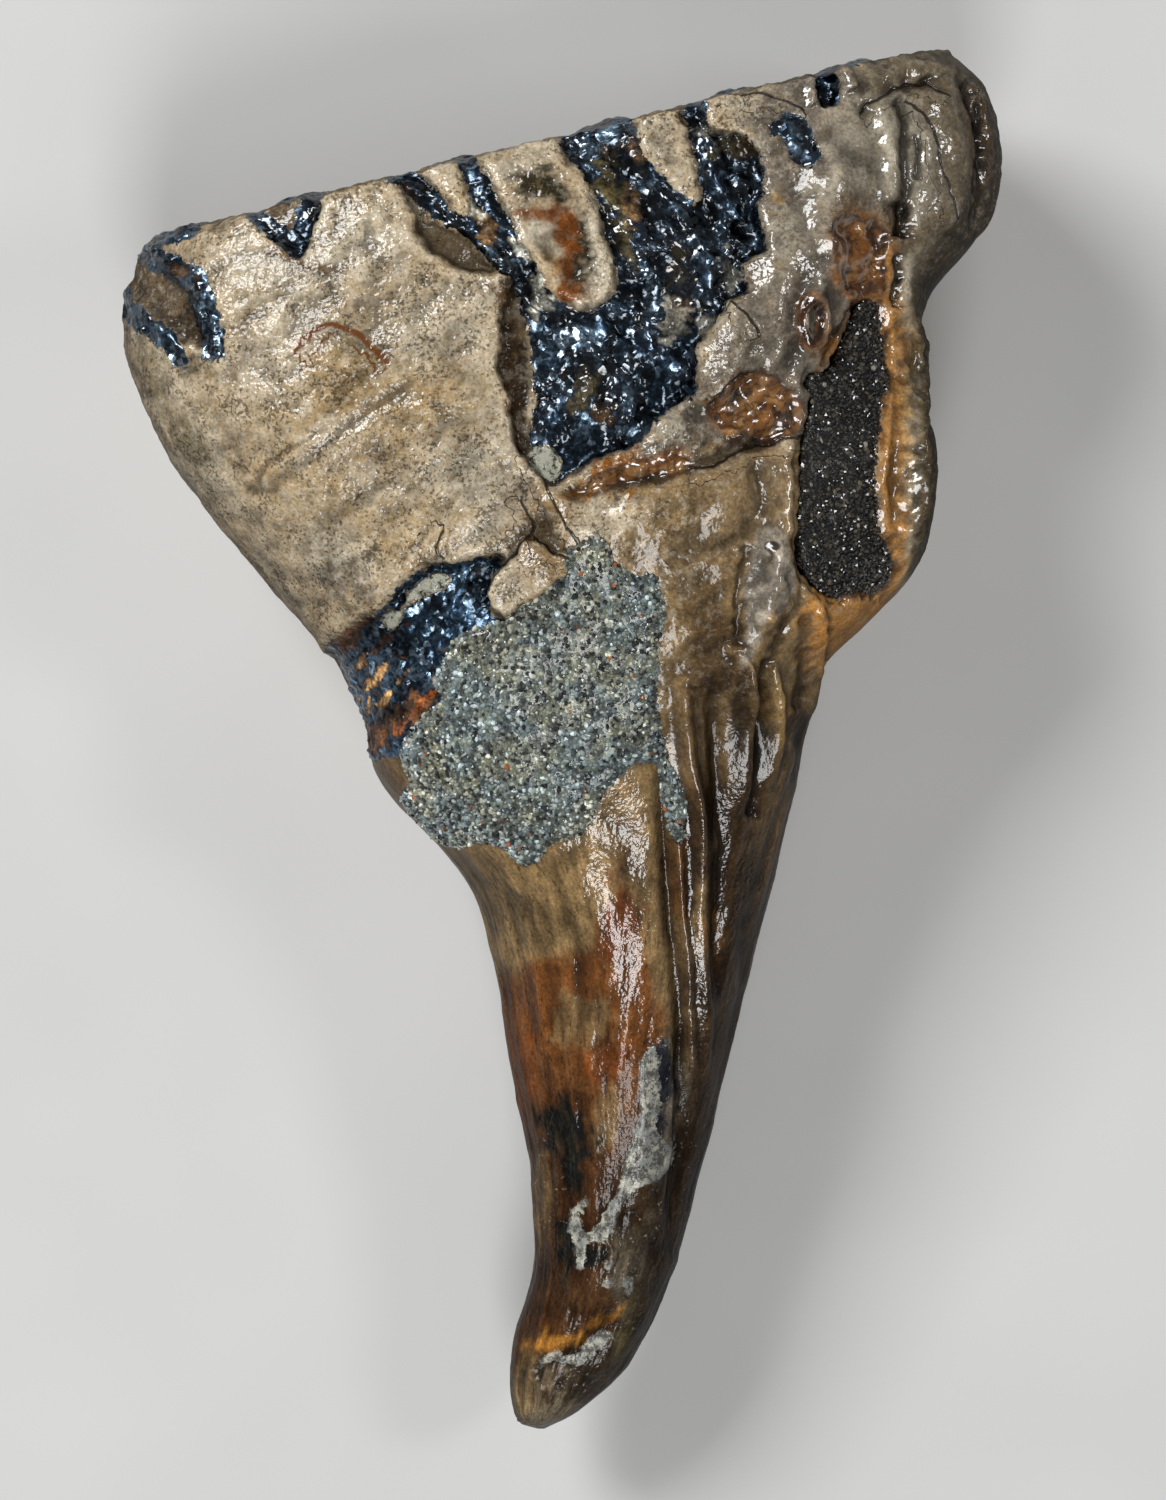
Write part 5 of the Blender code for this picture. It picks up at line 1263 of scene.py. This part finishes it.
def cement_colour(finish, fine, medium, speckled):
    """Tan cement and what stains it, with ochre and pale specks, dark dots and crumbly spots."""
    colour = finish.uneven(finish.attribute("ground", "Color"), medium, 0.86, 1.14)
    colour = finish.uneven(colour, fine, 0.72, 1.2)
    ochre = finish.step(finish.noise(1.9, 5, roughness=0.72), 0.5, 0.64)
    pale = finish.step(finish.noise(1.3, 5, roughness=0.75), 0.5, 0.62)
    crowd = finish.plus(finish.noise(0.5, 4, roughness=0.7), finish.times(finish.noise(4.0, 4), 0.6))
    crumbly = finish.step(finish.noise(0.7, 5, roughness=0.75), 0.56, 0.62)
    for specks, strength, speck_colour in (
        (ochre, 0.45, SPECK_OCHRE), (pale, 0.45, SPECK_PALE),
        (finish.step(crowd, 0.85, 0.93), 0.75, DOT_BROWN), (crumbly, 0.4, CRUMB_BROWN),
    ):
        colour = finish.mix(finish.times(specks, strength, speckled), colour, speck_colour)
    return colour


def root_colour(finish, colour, grain, streak):
    """The same colour on the root: streaked along it, with pale mottle and burnt flecks."""
    colour = finish.uneven(colour, streak, 0.8, 1.16)
    colour = finish.uneven(colour, finish.noise(2.6, 3, grain), 0.66, 1.28)
    mottle = finish.step(finish.noise(1.5, 5, finish.stretched(grain, (1.0, 4.0, 1.0)), 0.7), 0.5, 0.6)
    colour = finish.mix(finish.times(mottle, 0.5), colour, finish.shaded(colour, 1.6))
    colour = finish.mix(finish.times(mottle, 0.06), colour, KHAKI_LIGHT)
    burnt = finish.step(finish.noise(0.6, 4, finish.stretched(grain, (1.0, 3.0, 1.0)), 0.7), 0.56, 0.64)
    return finish.mix(finish.times(burnt, 0.55), colour, STREAK_BURNT)


def resin_colour(finish, resin):
    """Resin that ran into the hollows: amber, paler in places, dark in its curls and at its edge."""
    colour = finish.mix(finish.step(finish.noise(2.2, 2), 0.36, 0.58), RESIN_DARK, RESIN_BROWN)
    colour = finish.mix(finish.step(finish.noise(3.2, 2), 0.48, 0.6), colour, RESIN_PALE)
    curl = finish.math("ABSOLUTE", finish.math("SUBTRACT", finish.noise(2.6, 2), 0.5))
    colour = finish.mix(finish.step(curl, 0.0, 0.04, 0.75, 0.0), colour, RESIN_DARK)
    return finish.mix(finish.step(resin, 0.1, 1.0, 0.9, 0.0), colour, RESIN_DARK)


def smear_colour(finish, medium):
    """Cream cement left on the root, with grey patches and dark blotches."""
    blotch = finish.step(finish.noise(1.2, 5, roughness=0.8), 0.47, 0.54)
    colour = finish.mix(finish.step(medium, 0.36, 0.62), CREAM, SMEAR_GREY)
    return finish.mix(finish.times(blotch, 0.8), colour, SMEAR_DARK)


def resin_marks(finish, colour, wobble, above):
    """The dark rim of the dried drip, and the dark eye of the grey lump below it."""
    wavy = finish.times(wobble, 0.12)
    ring = finish.plus(finish.oval(*DRIP_RING), wavy)
    rim = finish.times(finish.step(ring, 0.7, 0.9), finish.step(ring, 1.2, 1.4, 1.0, 0.0))
    colour = finish.mix(finish.times(rim, above, 0.85), colour, RESIN_DARK)
    eye = finish.step(finish.plus(finish.oval(28.7, 27.4, 1.2, 0.8), wavy), 0.7, 1.1, 1.0, 0.0)
    return finish.mix(finish.times(eye, above, 0.9), colour, EYE_BROWN)


def enamel_colour(finish, fine, medium, dip, crumbs):
    """Blue-black enamel with steel-blue facets, with painted shade in its hollows and painted light on its
    crests, and how far it is clean enough to shine like metal.
    """
    glass = finish.attribute("glass", "Color")
    bluer = finish.math("SUBTRACT", finish.part(glass, "Z"), finish.part(glass, "X"))
    metal = finish.step(bluer, 0.0, 0.004)
    facet = finish.times(finish.step(finish.part(crumbs, "X"), 0.6, 0.9), finish.step(medium, 0.44, 0.64))
    patch = finish.step(finish.part(glass, "Z"), 0.02, 0.2, 0.0, 0.55)
    colour = finish.mix(metal, glass, finish.mix(finish.math("MAXIMUM", facet, patch), METAL_BLUE, STEEL))
    colour = finish.uneven(colour, fine, 0.55, 1.6)
    # Painted shade in the enamel's hollows, and painted light on its crests.
    colour = finish.uneven(colour, dip, 1.4, 0.4, -0.3, 0.5)
    return finish.uneven(colour, finish.noise(4.0, 4, roughness=0.65), 0.3, 2.0, 0.36, 0.64), metal


def black_window_colour(finish, blue):
    """The enamel of the second window, lighter by painted sheen and crossed by slanted brown seams, and where
    those seams are.
    """
    turn = (0, 0, math.radians(-42))
    slanted = finish.add("Mapping", {"Vector": finish.place, "Rotation": turn, "Scale": (0.2, 1.0, 1.0)})
    seam = finish.step(finish.noise(1.6 * MM, 3, slanted), 0.62, 0.7)
    # Painted sheen: the window's enamel is made 2.1 times lighter than the other enamel, standing for the
    # broad bluish highlights on it.
    return finish.mix(finish.times(seam, 0.8), finish.shaded(blue, 2.1), SEAM_BROWN), seam


def lacquer_skin(finish, grain, streaked, even):
    """Height of the lacquer's dimpled skin: even dimples on the crown, finer and longer ones on the root."""
    skin = 0.0
    for waves, on_crown, on_root in (
        (finish.noise(0.85, 1), 0.21, 0.1), (finish.noise(0.5, 1), 0.0, 0.075),
        (finish.noise(0.9, 1, finish.stretched(grain, (1.0, 3.0, 1.0))), 0.0, 0.1),
    ):
        skin = finish.plus(skin, finish.times(waves, finish.step(streaked, 0.2, 0.8, on_crown, on_root)))
    return finish.times(skin, finish.attribute("peel"), even)


def lacquer_coat(finish, upward, glassy, dip, resin, cluster):
    """How much lacquer there is: less on steep and sunken places, uneven on enamel, full on resin."""
    coat = finish.times(finish.step(upward, 0.5, 0.9, 0.1, 1.0), finish.attribute("gloss"))
    coat = finish.times(coat, finish.mix_value(glassy, 1.0, finish.step(cluster, 0.38, 0.58, 0.4, 1.0)))
    coat = finish.times(coat, finish.step(dip, 0.1, 0.7, 1.0, 0.45))
    return finish.mix_value(finish.step(resin, -0.3, 0.3), coat, 1.0)


def lacquered_fossil():
    """Tan cement, brown dentine and blue-black enamel, all under one coat of lacquer, with painted shade in
    hollows and on steep sides.
    """
    finish = Finish("lacquered_fossil")
    fine, medium = finish.noise(0.45, 3), finish.noise(2.2, 4)
    dip = finish.attribute("dip")
    speckled, streaked = finish.attribute("speckled"), finish.attribute("streaked")
    grain = finish.attribute("grain", "Vector")
    streak = finish.noise(0.5, 3, grain)
    wobble = finish.times(finish.math("SUBTRACT", finish.noise(1.1, 4, roughness=0.7), 0.5), 2.4)
    upward = finish.part(finish.add("NewGeometry", {}, "Normal"), "Z")

    def covered(name, low, high):
        """0 to 1 over the uneven edge of what is stored under a name."""
        return finish.step(finish.plus(finish.attribute(name), wobble), low, high)

    def line(name, low, high):
        """1 along a stored line, falling to 0."""
        return finish.step(finish.math("ABSOLUTE", finish.attribute(name)), low, high, 1.0, 0.0)

    colour = cement_colour(finish, fine, medium, speckled)
    colour = finish.mix(streaked, colour, root_colour(finish, colour, grain, streak))
    # Painted shade: the colour is darkened in small pits and broad hollows, and painted light makes it a
    # little lighter on bumps and rises.
    colour = finish.uneven(colour, finish.attribute("pit"), 1.2, 0.6, -0.12, 0.12)
    colour = finish.uneven(colour, dip, 1.1, 0.5, -0.4, 0.8)
    crack = line("crack", 0.06, 0.3)
    colour = finish.mix(finish.times(line("arc", 0.2, 0.7), 0.95), colour, RUST)
    colour = finish.mix(finish.times(crack, 0.9), colour, CRACK_BROWN)
    resin = finish.plus(finish.attribute("resin"), finish.times(wobble, 0.6))
    colour = finish.mix(finish.step(resin, -0.3, 0.3, 0.0, 0.68), colour, resin_colour(finish, resin))
    colour = finish.mix(covered("cream", -0.1, 0.15), colour, smear_colour(finish, medium))
    colour = resin_marks(finish, colour, wobble, finish.step(upward, 0.1, 0.3))
    fleck = finish.step(finish.noise(0.9, 4, roughness=0.75), 0.62, 0.68)
    colour = finish.mix(finish.times(fleck, finish.attribute("flecked")), colour, CREAM)

    crumbs = finish.cells(0.9)
    blue, metal = enamel_colour(finish, fine, medium, dip, crumbs)
    enamel, black = covered("enamel", -0.08, 0.12), covered("black", -0.08, 0.12)
    seamed, seam = black_window_colour(finish, blue)
    colour = finish.mix(black, finish.mix(enamel, colour, blue), seamed)
    metal = finish.times(metal, finish.math("MAXIMUM", enamel, finish.times(black, finish.rest(seam))))
    matrix, crumble = covered("matrix", -0.1, 0.15), finish.noise(1.2, 5, roughness=0.8)
    crumbly = finish.mix(finish.step(crumble, 0.38, 0.5), MATRIX_DARK, MATRIX_PALE)
    colour = finish.mix(matrix, colour, crumbly)
    # Painted shade: the colour is darkened most on steep sides, and a little less on faces that look down.
    steep = finish.plus(finish.step(upward, 0.1, 0.92, 0.36, 1.0), finish.step(upward, -0.5, 0.1, 0.44, 0.0))
    colour = finish.shaded(colour, steep)

    glassy = finish.math("MAXIMUM", enamel, black)
    even = finish.rest(finish.times(glassy, 0.75))
    skin = lacquer_skin(finish, grain, streaked, even)
    skin = finish.plus(skin, finish.times(streak, streaked, 0.03))
    skin = finish.math("SUBTRACT", skin, finish.times(crack, 0.3))
    rough = finish.plus(skin, finish.times(fine, speckled, even, 0.14), finish.times(matrix, crumble, 1.2))

    cluster = finish.noise(4.5, 4, roughness=0.6)
    broken = finish.times(glassy, finish.step(cluster, 0.4, 0.6, 0.16, 0.85))
    satin = finish.step(streaked, 0.3, 0.9, 0.7, 0.36)
    return finish.end(
        Base_Color=colour,
        Metallic=metal,
        Roughness=finish.step(glassy, 0.0, 1.0, satin, 0.32),
        Specular_IOR_Level=0.05,
        Normal=finish.sparkle(finish.bump(rough), crumbs, broken),
        Coat_Normal=finish.sparkle(finish.bump(skin), crumbs, broken),
        Coat_Weight=lacquer_coat(finish, upward, glassy, dip, resin, cluster),
        Coat_Roughness=0.15,
        Coat_IOR=1.9,
    )


tooth.data.materials.append(lacquered_fossil())
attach(tooth, "root")
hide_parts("tooth")


# ================================================================ the sandstone crust
# A thin sheet of grey-green sandstone, left from the rock that held the tooth. Its grains of pale
# quartz and dark rock are set in a fine cement, and it fills a shallow hollow at the top of the root.

CRUST_STANDS = 0.9          # sandstone above the tooth's surface
CRUST_SKIRT = 1.3           # how far its edge goes down into the tooth
CRUST_GRID = 0.7            # grid spacing of its bed
GRAIN_SIZE = 0.74
GRAIN_SPACING = 0.37        # least distance between two grains' middles
CEMENT_GREY = screen(74, 79, 76)
CEMENT_GREEN = screen(126, 126, 104)
COOL_TINT = (1.08, 1.2, 1.3)
WARM_TINT = (1.3, 1.26, 1.12)
STONE_GRAINS = (  # the share of grains under each colour, and its screen values
    (0.0, (22, 25, 28)), (0.13, (62, 68, 68)), (0.27, (100, 107, 106)), (0.52, (126, 133, 130)),
    (0.76, (156, 158, 146)), (0.92, (202, 206, 202)), (0.992, (150, 84, 48)),
)
LEAST_UPWARD = 0.15         # how far a face of a bed has to look up to hold grains
MOST_GRAINS = 8e6           # per square metre, before the spacing thins them


def filled_outline(outline, grid):
    """An outline filled with triangles: flat points, the triangles, and how many points its edge has."""
    ring = spline(outline, 3 * len(outline), closed=True)
    low, high = ring.min(0), ring.max(0)
    xs, ys = np.meshgrid(np.arange(low[0], high[0], grid), np.arange(low[1], high[1], grid))
    xs = xs + grid / 2 * (np.arange(len(xs)) % 2)[:, None]
    keep = inside_distance(xs.ravel(), ys.ravel(), outline) > 0.55 * grid
    inner = np.stack([xs.ravel()[keep], ys.ravel()[keep]], axis=1)
    flat = [Vector(p) for p in np.vstack([ring, inner])]
    edges = [(i, (i + 1) % len(ring)) for i in range(len(ring))]
    points, _, triangles, *_ = delaunay_2d_cdt(flat, edges, [], 1, 1e-6)
    return np.array([tuple(p) for p in points]), triangles, len(ring)


class UpSide:
    """Height of the tooth's up side over flat points, without its hollows."""

    def __init__(self):
        """Makes a coarse tooth to measure on."""
        points, faces = tooth_surface(rows=220, half_columns=140, cap_rows=20, detailed=False)
        self.tree = BVHTree.FromPolygons(points.tolist(), faces)

    def __call__(self, flat):
        """The height over each of the flat points."""
        heights = []
        for x, y in flat:
            hit = self.tree.ray_cast(Vector((x, y, 200.0)), Vector((0, 0, -1)))[0]
            heights.append(hit.z if hit else 30.0)
        return np.array(heights)


def bed(name, outline, grid, depth, top):
    """A closed body over an outline, from a depth under the tooth's surface up to a height for each point."""
    flat, triangles, ring = filled_outline(outline, grid)
    count = len(flat)
    inner = inside_distance(flat[:, 0], flat[:, 1], outline)
    levels = (up_side(flat) - depth, top(flat, inner))
    points = np.vstack([np.column_stack([flat, level]) for level in levels])
    faces = [tuple(t) for t in triangles] + [tuple(i + count for i in reversed(t)) for t in triangles]
    faces += [(i, i + count, (i + 1) % ring + count, (i + 1) % ring) for i in range(ring)]
    return make_object(name, points, faces)


def scatter_tree():
    """Geometry Nodes that strew small angular grains over the upward faces of a bed, and join them to it."""
    tree = bpy.data.node_groups.new("strewn grains", "GeometryNodeTree")
    for name, kind, way in (
        ("Bed", "NodeSocketGeometry", "INPUT"), ("Grain Size", "NodeSocketFloat", "INPUT"),
        ("Spacing", "NodeSocketFloat", "INPUT"), ("Seed", "NodeSocketInt", "INPUT"),
        ("Stone", "NodeSocketMaterial", "INPUT"), ("Grains", "NodeSocketGeometry", "OUTPUT"),
    ):
        tree.interface.new_socket(name, in_out=way, socket_type=kind)

    def node(kind, inputs, **settings):
        """A new node, with values or other nodes' outputs plugged into its inputs."""
        made = tree.nodes.new(kind)
        for name, value in settings.items():
            setattr(made, name, value)
        for name, value in inputs.items():
            if isinstance(value, bpy.types.NodeSocket):
                tree.links.new(value, made.inputs[name])
            else:
                made.inputs[name].default_value = value
        return made

    def chance(kind, low, high, seed):
        """A value by chance for each grain, between a low and a high one."""
        made = node("FunctionNodeRandomValue", {"Seed": seed}, data_type=kind)
        first, output = {"FLOAT": (2, 1), "FLOAT_VECTOR": (0, 0)}[kind]
        made.inputs[first].default_value = low
        made.inputs[first + 1].default_value = high
        return made.outputs[output]

    given = node("NodeGroupInput", {}).outputs
    normal = node("GeometryNodeInputNormal", {}).outputs[0]
    upward = node("ShaderNodeSeparateXYZ", {0: normal}).outputs["Z"]
    facing = node(
        "FunctionNodeCompare", {0: upward, 1: LEAST_UPWARD}, data_type="FLOAT", operation="GREATER_THAN",
    ).outputs[0]
    strewn = node(
        "GeometryNodeDistributePointsOnFaces",
        {"Mesh": given["Bed"], "Selection": facing, "Distance Min": given["Spacing"],
         "Density Max": MOST_GRAINS, "Seed": given["Seed"]},
        distribute_method="POISSON",
    )
    ball = node("GeometryNodeMeshIcoSphere", {"Radius": 0.5, "Subdivisions": 1}).outputs["Mesh"]
    turn = chance("FLOAT_VECTOR", (0, 0, 0), (6.28, 6.28, 6.28), 3)
    share = chance("FLOAT_VECTOR", (0.55, 0.55, 0.45), (1.25, 1.25, 1.0), 4)
    growth = {0: given["Grain Size"], 1: chance("FLOAT", 0.7, 1.45, 6)}
    larger = node("ShaderNodeMath", growth, operation="MULTIPLY").outputs[0]
    size = node("ShaderNodeVectorMath", {0: share, "Scale": larger}, operation="SCALE").outputs[0]
    set_down = node(
        "GeometryNodeInstanceOnPoints",
        {"Points": strewn.outputs["Points"], "Instance": ball, "Rotation": turn, "Scale": size},
    ).outputs[0]
    shaded = node(
        "GeometryNodeStoreNamedAttribute",
        {"Geometry": set_down, "Name": "grain_shade", "Value": chance("FLOAT", 0.0, 1.0, 5)},
        data_type="FLOAT", domain="INSTANCE",
    ).outputs[0]
    loose = node("GeometryNodeRealizeInstances", {0: shaded}).outputs[0]
    flat = node("GeometryNodeSetShadeSmooth", {"Geometry": loose, "Shade Smooth": False}).outputs[0]
    marked = node(
        "GeometryNodeStoreNamedAttribute",
        {"Geometry": given["Bed"], "Name": "grain_shade", "Value": -1.0}, data_type="FLOAT", domain="POINT",
    ).outputs[0]
    joined = tree.nodes.new("GeometryNodeJoinGeometry")
    tree.links.new(flat, joined.inputs[0])
    tree.links.new(marked, joined.inputs[0])
    finished = node("GeometryNodeSetMaterial", {"Geometry": joined.outputs[0], "Material": given["Stone"]})
    node("NodeGroupOutput", {"Grains": finished.outputs[0]})
    return tree


def strew(obj, grain_size, spacing, seed, stone):
    """Strews grains over a bed and turns the whole into one plain mesh."""
    modifier = obj.modifiers.new("grains", "NODES")
    modifier.node_group = STREWN_GRAINS
    values = {"Grain Size": grain_size * MM, "Spacing": spacing * MM, "Seed": seed, "Stone": stone}
    for item in STREWN_GRAINS.interface.items_tree:
        if item.name in values:
            modifier[item.identifier] = values[item.name]
    return settled(obj)


STREWN_GRAINS = scatter_tree()
up_side = UpSide()


def crust_top(flat, inner):
    """Thin at its ragged edge, and lumpy further in."""
    places = np.column_stack([flat, np.zeros(len(flat))])
    height = CRUST_STANDS * smooth(inner / 1.8 + 0.25)
    height += smooth(inner / 2.0) * (0.55 * swell(places, 7.0, 71) + 0.3 * swell(places, 2.4, 72))
    return up_side(flat) + height + 0.12 * swell(places, 0.9, 73)


def grey_sandstone():
    """Grains of grey, black, cream and a few of rust, in a pale grey-green cement."""
    finish = Finish("grey_sandstone")
    shade = finish.attribute("grain_shade")
    fine = finish.noise(0.35, 3)
    cement = finish.mix(finish.step(finish.noise(3.0, 3), 0.35, 0.65), CEMENT_GREY, CEMENT_GREEN)
    cement = finish.uneven(cement, fine, 0.6, 1.2)
    colour = finish.mix(finish.step(shade, -0.5, -0.4), cement, finish.grain_colour(shade, STONE_GRAINS))
    tint = finish.mix(finish.step(finish.noise(7.0, 3), 0.42, 0.58), COOL_TINT, WARM_TINT)
    colour = finish.mix(1.0, colour, tint, "MULTIPLY")
    colour = finish.uneven(colour, finish.noise(2.6, 4, roughness=0.7), 0.55, 1.5, 0.32, 0.68)
    return finish.end(
        Base_Color=colour,
        Roughness=0.6,
        Normal=finish.bump(finish.times(fine, 0.12)),
        Coat_Weight=0.5,
        Coat_Roughness=0.1,
        Coat_IOR=1.7,
    )


crust = bed("sandstone_crust_grains", CRUST_OUTLINE, CRUST_GRID, CRUST_SKIRT, crust_top)
strew(crust, GRAIN_SIZE, GRAIN_SPACING, 8, grey_sandstone())
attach(crust, "root")
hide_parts("sandstone_crust")


# ================================================================ the canal's dark sand
# The root canal lies open along the side, and dark sand has set hard in it. Its grains are finer than
# the crust's, nearly black, and the lacquer makes them glint.

SAND_DEPTH = 3.2            # how thick the visible bed of sand is
SAND_GRID = 0.6             # grid spacing of that bed
SAND_GRAIN = 0.72
SAND_SPACING = 0.36         # least distance between two grains' middles
SAND_BLACK = screen(8, 7, 6)
SAND_GRAINS = (  # the share of grains under each colour, and its screen values
    (0.0, (8, 7, 6)), (0.35, (19, 17, 13)), (0.62, (36, 31, 22)), (0.8, (62, 54, 40)),
    (0.93, (92, 84, 68)), (0.985, (140, 136, 124)),
)


def sand_top(flat, inner):
    """Uneven, and lower along its edge."""
    places = np.column_stack([flat, np.zeros(len(flat))])
    height = 0.35 * swell(places, 5.0, 81) + 0.18 * swell(places, 1.6, 82)
    return up_side(flat) - FILL_SUNK + height - 0.4 * (1 - smooth(inner / 1.2 + 0.3))


def dark_sand():
    """Nearly black grains with a few of brown and clear quartz, wet with lacquer."""
    finish = Finish("dark_sand")
    shade = finish.attribute("grain_shade")
    colour = finish.mix(finish.step(shade, -0.5, -0.4), SAND_BLACK, finish.grain_colour(shade, SAND_GRAINS))
    colour = finish.uneven(colour, finish.noise(2.5, 2), 0.75, 1.3)
    return finish.end(
        Base_Color=colour,
        Roughness=0.5,
        Normal=finish.bump(finish.times(finish.noise(0.2, 2), 0.05)),
        Coat_Weight=finish.step(shade, -0.5, -0.4, 0.1, 1.0),
        Coat_Roughness=0.06,
        Coat_IOR=1.65,
    )


canal = bed("canal_dark_sand", CANAL_OUTLINE, SAND_GRID, FILL_SUNK + SAND_DEPTH, sand_top)
strew(canal, SAND_GRAIN, SAND_SPACING, 9, dark_sand())
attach(canal, "root")
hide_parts("canal_sand")


# ================================================================ the floor, the light and the camera
# A plain pale sheet lies under the tooth. Two large soft lamps and a small one give the lacquer its
# highlights, a white surround fills the shadows, and the camera looks straight down.

FLOOR_SIZE = 6000.0
FLOOR_TOP = -0.01           # just under the tooth
FLOOR_TONES = ((0.70, 0.70, 0.69), (0.74, 0.74, 0.73))
LAMPS = (  # place, width and length in metres, and power in watts
    ("key", (-0.7, 0.65, 1.0), (0.5, 0.5), 12.0),
    ("strip", (0.0, -0.66, 1.05), (0.38, 0.56), 6.0),
    ("right", (0.8, 0.1, 0.9), (0.2, 0.2), 1.5),
)
LAMPS_AIM = Vector((0.0, 0.0, 0.03))
SURROUND_LIGHT = 0.09       # the white surround's strength as a light
SURROUND_SEEN = 0.85        # and where the camera sees it past the floor
VIEW_HEIGHT = 210.0         # what the camera sees from top to bottom, level with the tooth's widest line
VIEW_MIDDLE = (3.0, -0.2, 30.0)
CAMERA_DISTANCE = 900.0     # over that middle
SENSOR = 36.0


def pale_floor():
    """Matt off-white, a little uneven in tone."""
    finish = Finish("pale_floor")
    tone = finish.step(finish.noise(60.0, 2), 0.3, 0.7, 0.0, 1.0)
    return finish.end(Base_Color=finish.mix(tone, *FLOOR_TONES), Roughness=0.8)


half = FLOOR_SIZE / 2
corners = [(x, y, FLOOR_TOP) for x, y in ((-half, -half), (half, -half), (half, half), (-half, half))]
floor = make_object("floor", corners, [(0, 1, 2, 3)])
floor.data.materials.append(pale_floor())

for name, place, (width, length), power in LAMPS:
    lamp_data = bpy.data.lights.new(name, "AREA")
    lamp_data.shape = "RECTANGLE"
    lamp_data.size = width
    lamp_data.size_y = length
    lamp_data.energy = power
    lamp = bpy.data.objects.new(name, lamp_data)
    bpy.context.scene.collection.objects.link(lamp)
    lamp.location = place
    lamp.rotation_euler = (LAMPS_AIM - Vector(place)).to_track_quat("-Z", "Y").to_euler()

world = bpy.data.worlds.new("studio")
bpy.context.scene.world = world
world.use_nodes = True
background = world.node_tree.nodes["Background"]
path = world.node_tree.nodes.new("ShaderNodeLightPath")
seen = world.node_tree.nodes.new("ShaderNodeMapRange")
seen.inputs["To Min"].default_value = SURROUND_LIGHT
seen.inputs["To Max"].default_value = SURROUND_SEEN
world.node_tree.links.new(path.outputs["Is Camera Ray"], seen.inputs["Value"])
world.node_tree.links.new(seen.outputs[0], background.inputs["Strength"])
background.inputs["Color"].default_value = (1.0, 1.0, 1.0, 1.0)

camera_data = bpy.data.cameras.new("camera")
camera = bpy.data.objects.new("camera", camera_data)
bpy.context.scene.collection.objects.link(camera)
camera_data.sensor_width = SENSOR
camera_data.lens = SENSOR * CAMERA_DISTANCE / VIEW_HEIGHT
camera_data.clip_start = 0.05
camera.location = (Vector(VIEW_MIDDLE) + Vector((0.0, 0.0, CAMERA_DISTANCE))) * MM
bpy.context.scene.camera = camera
bpy.context.scene.view_settings.view_transform = "Standard"
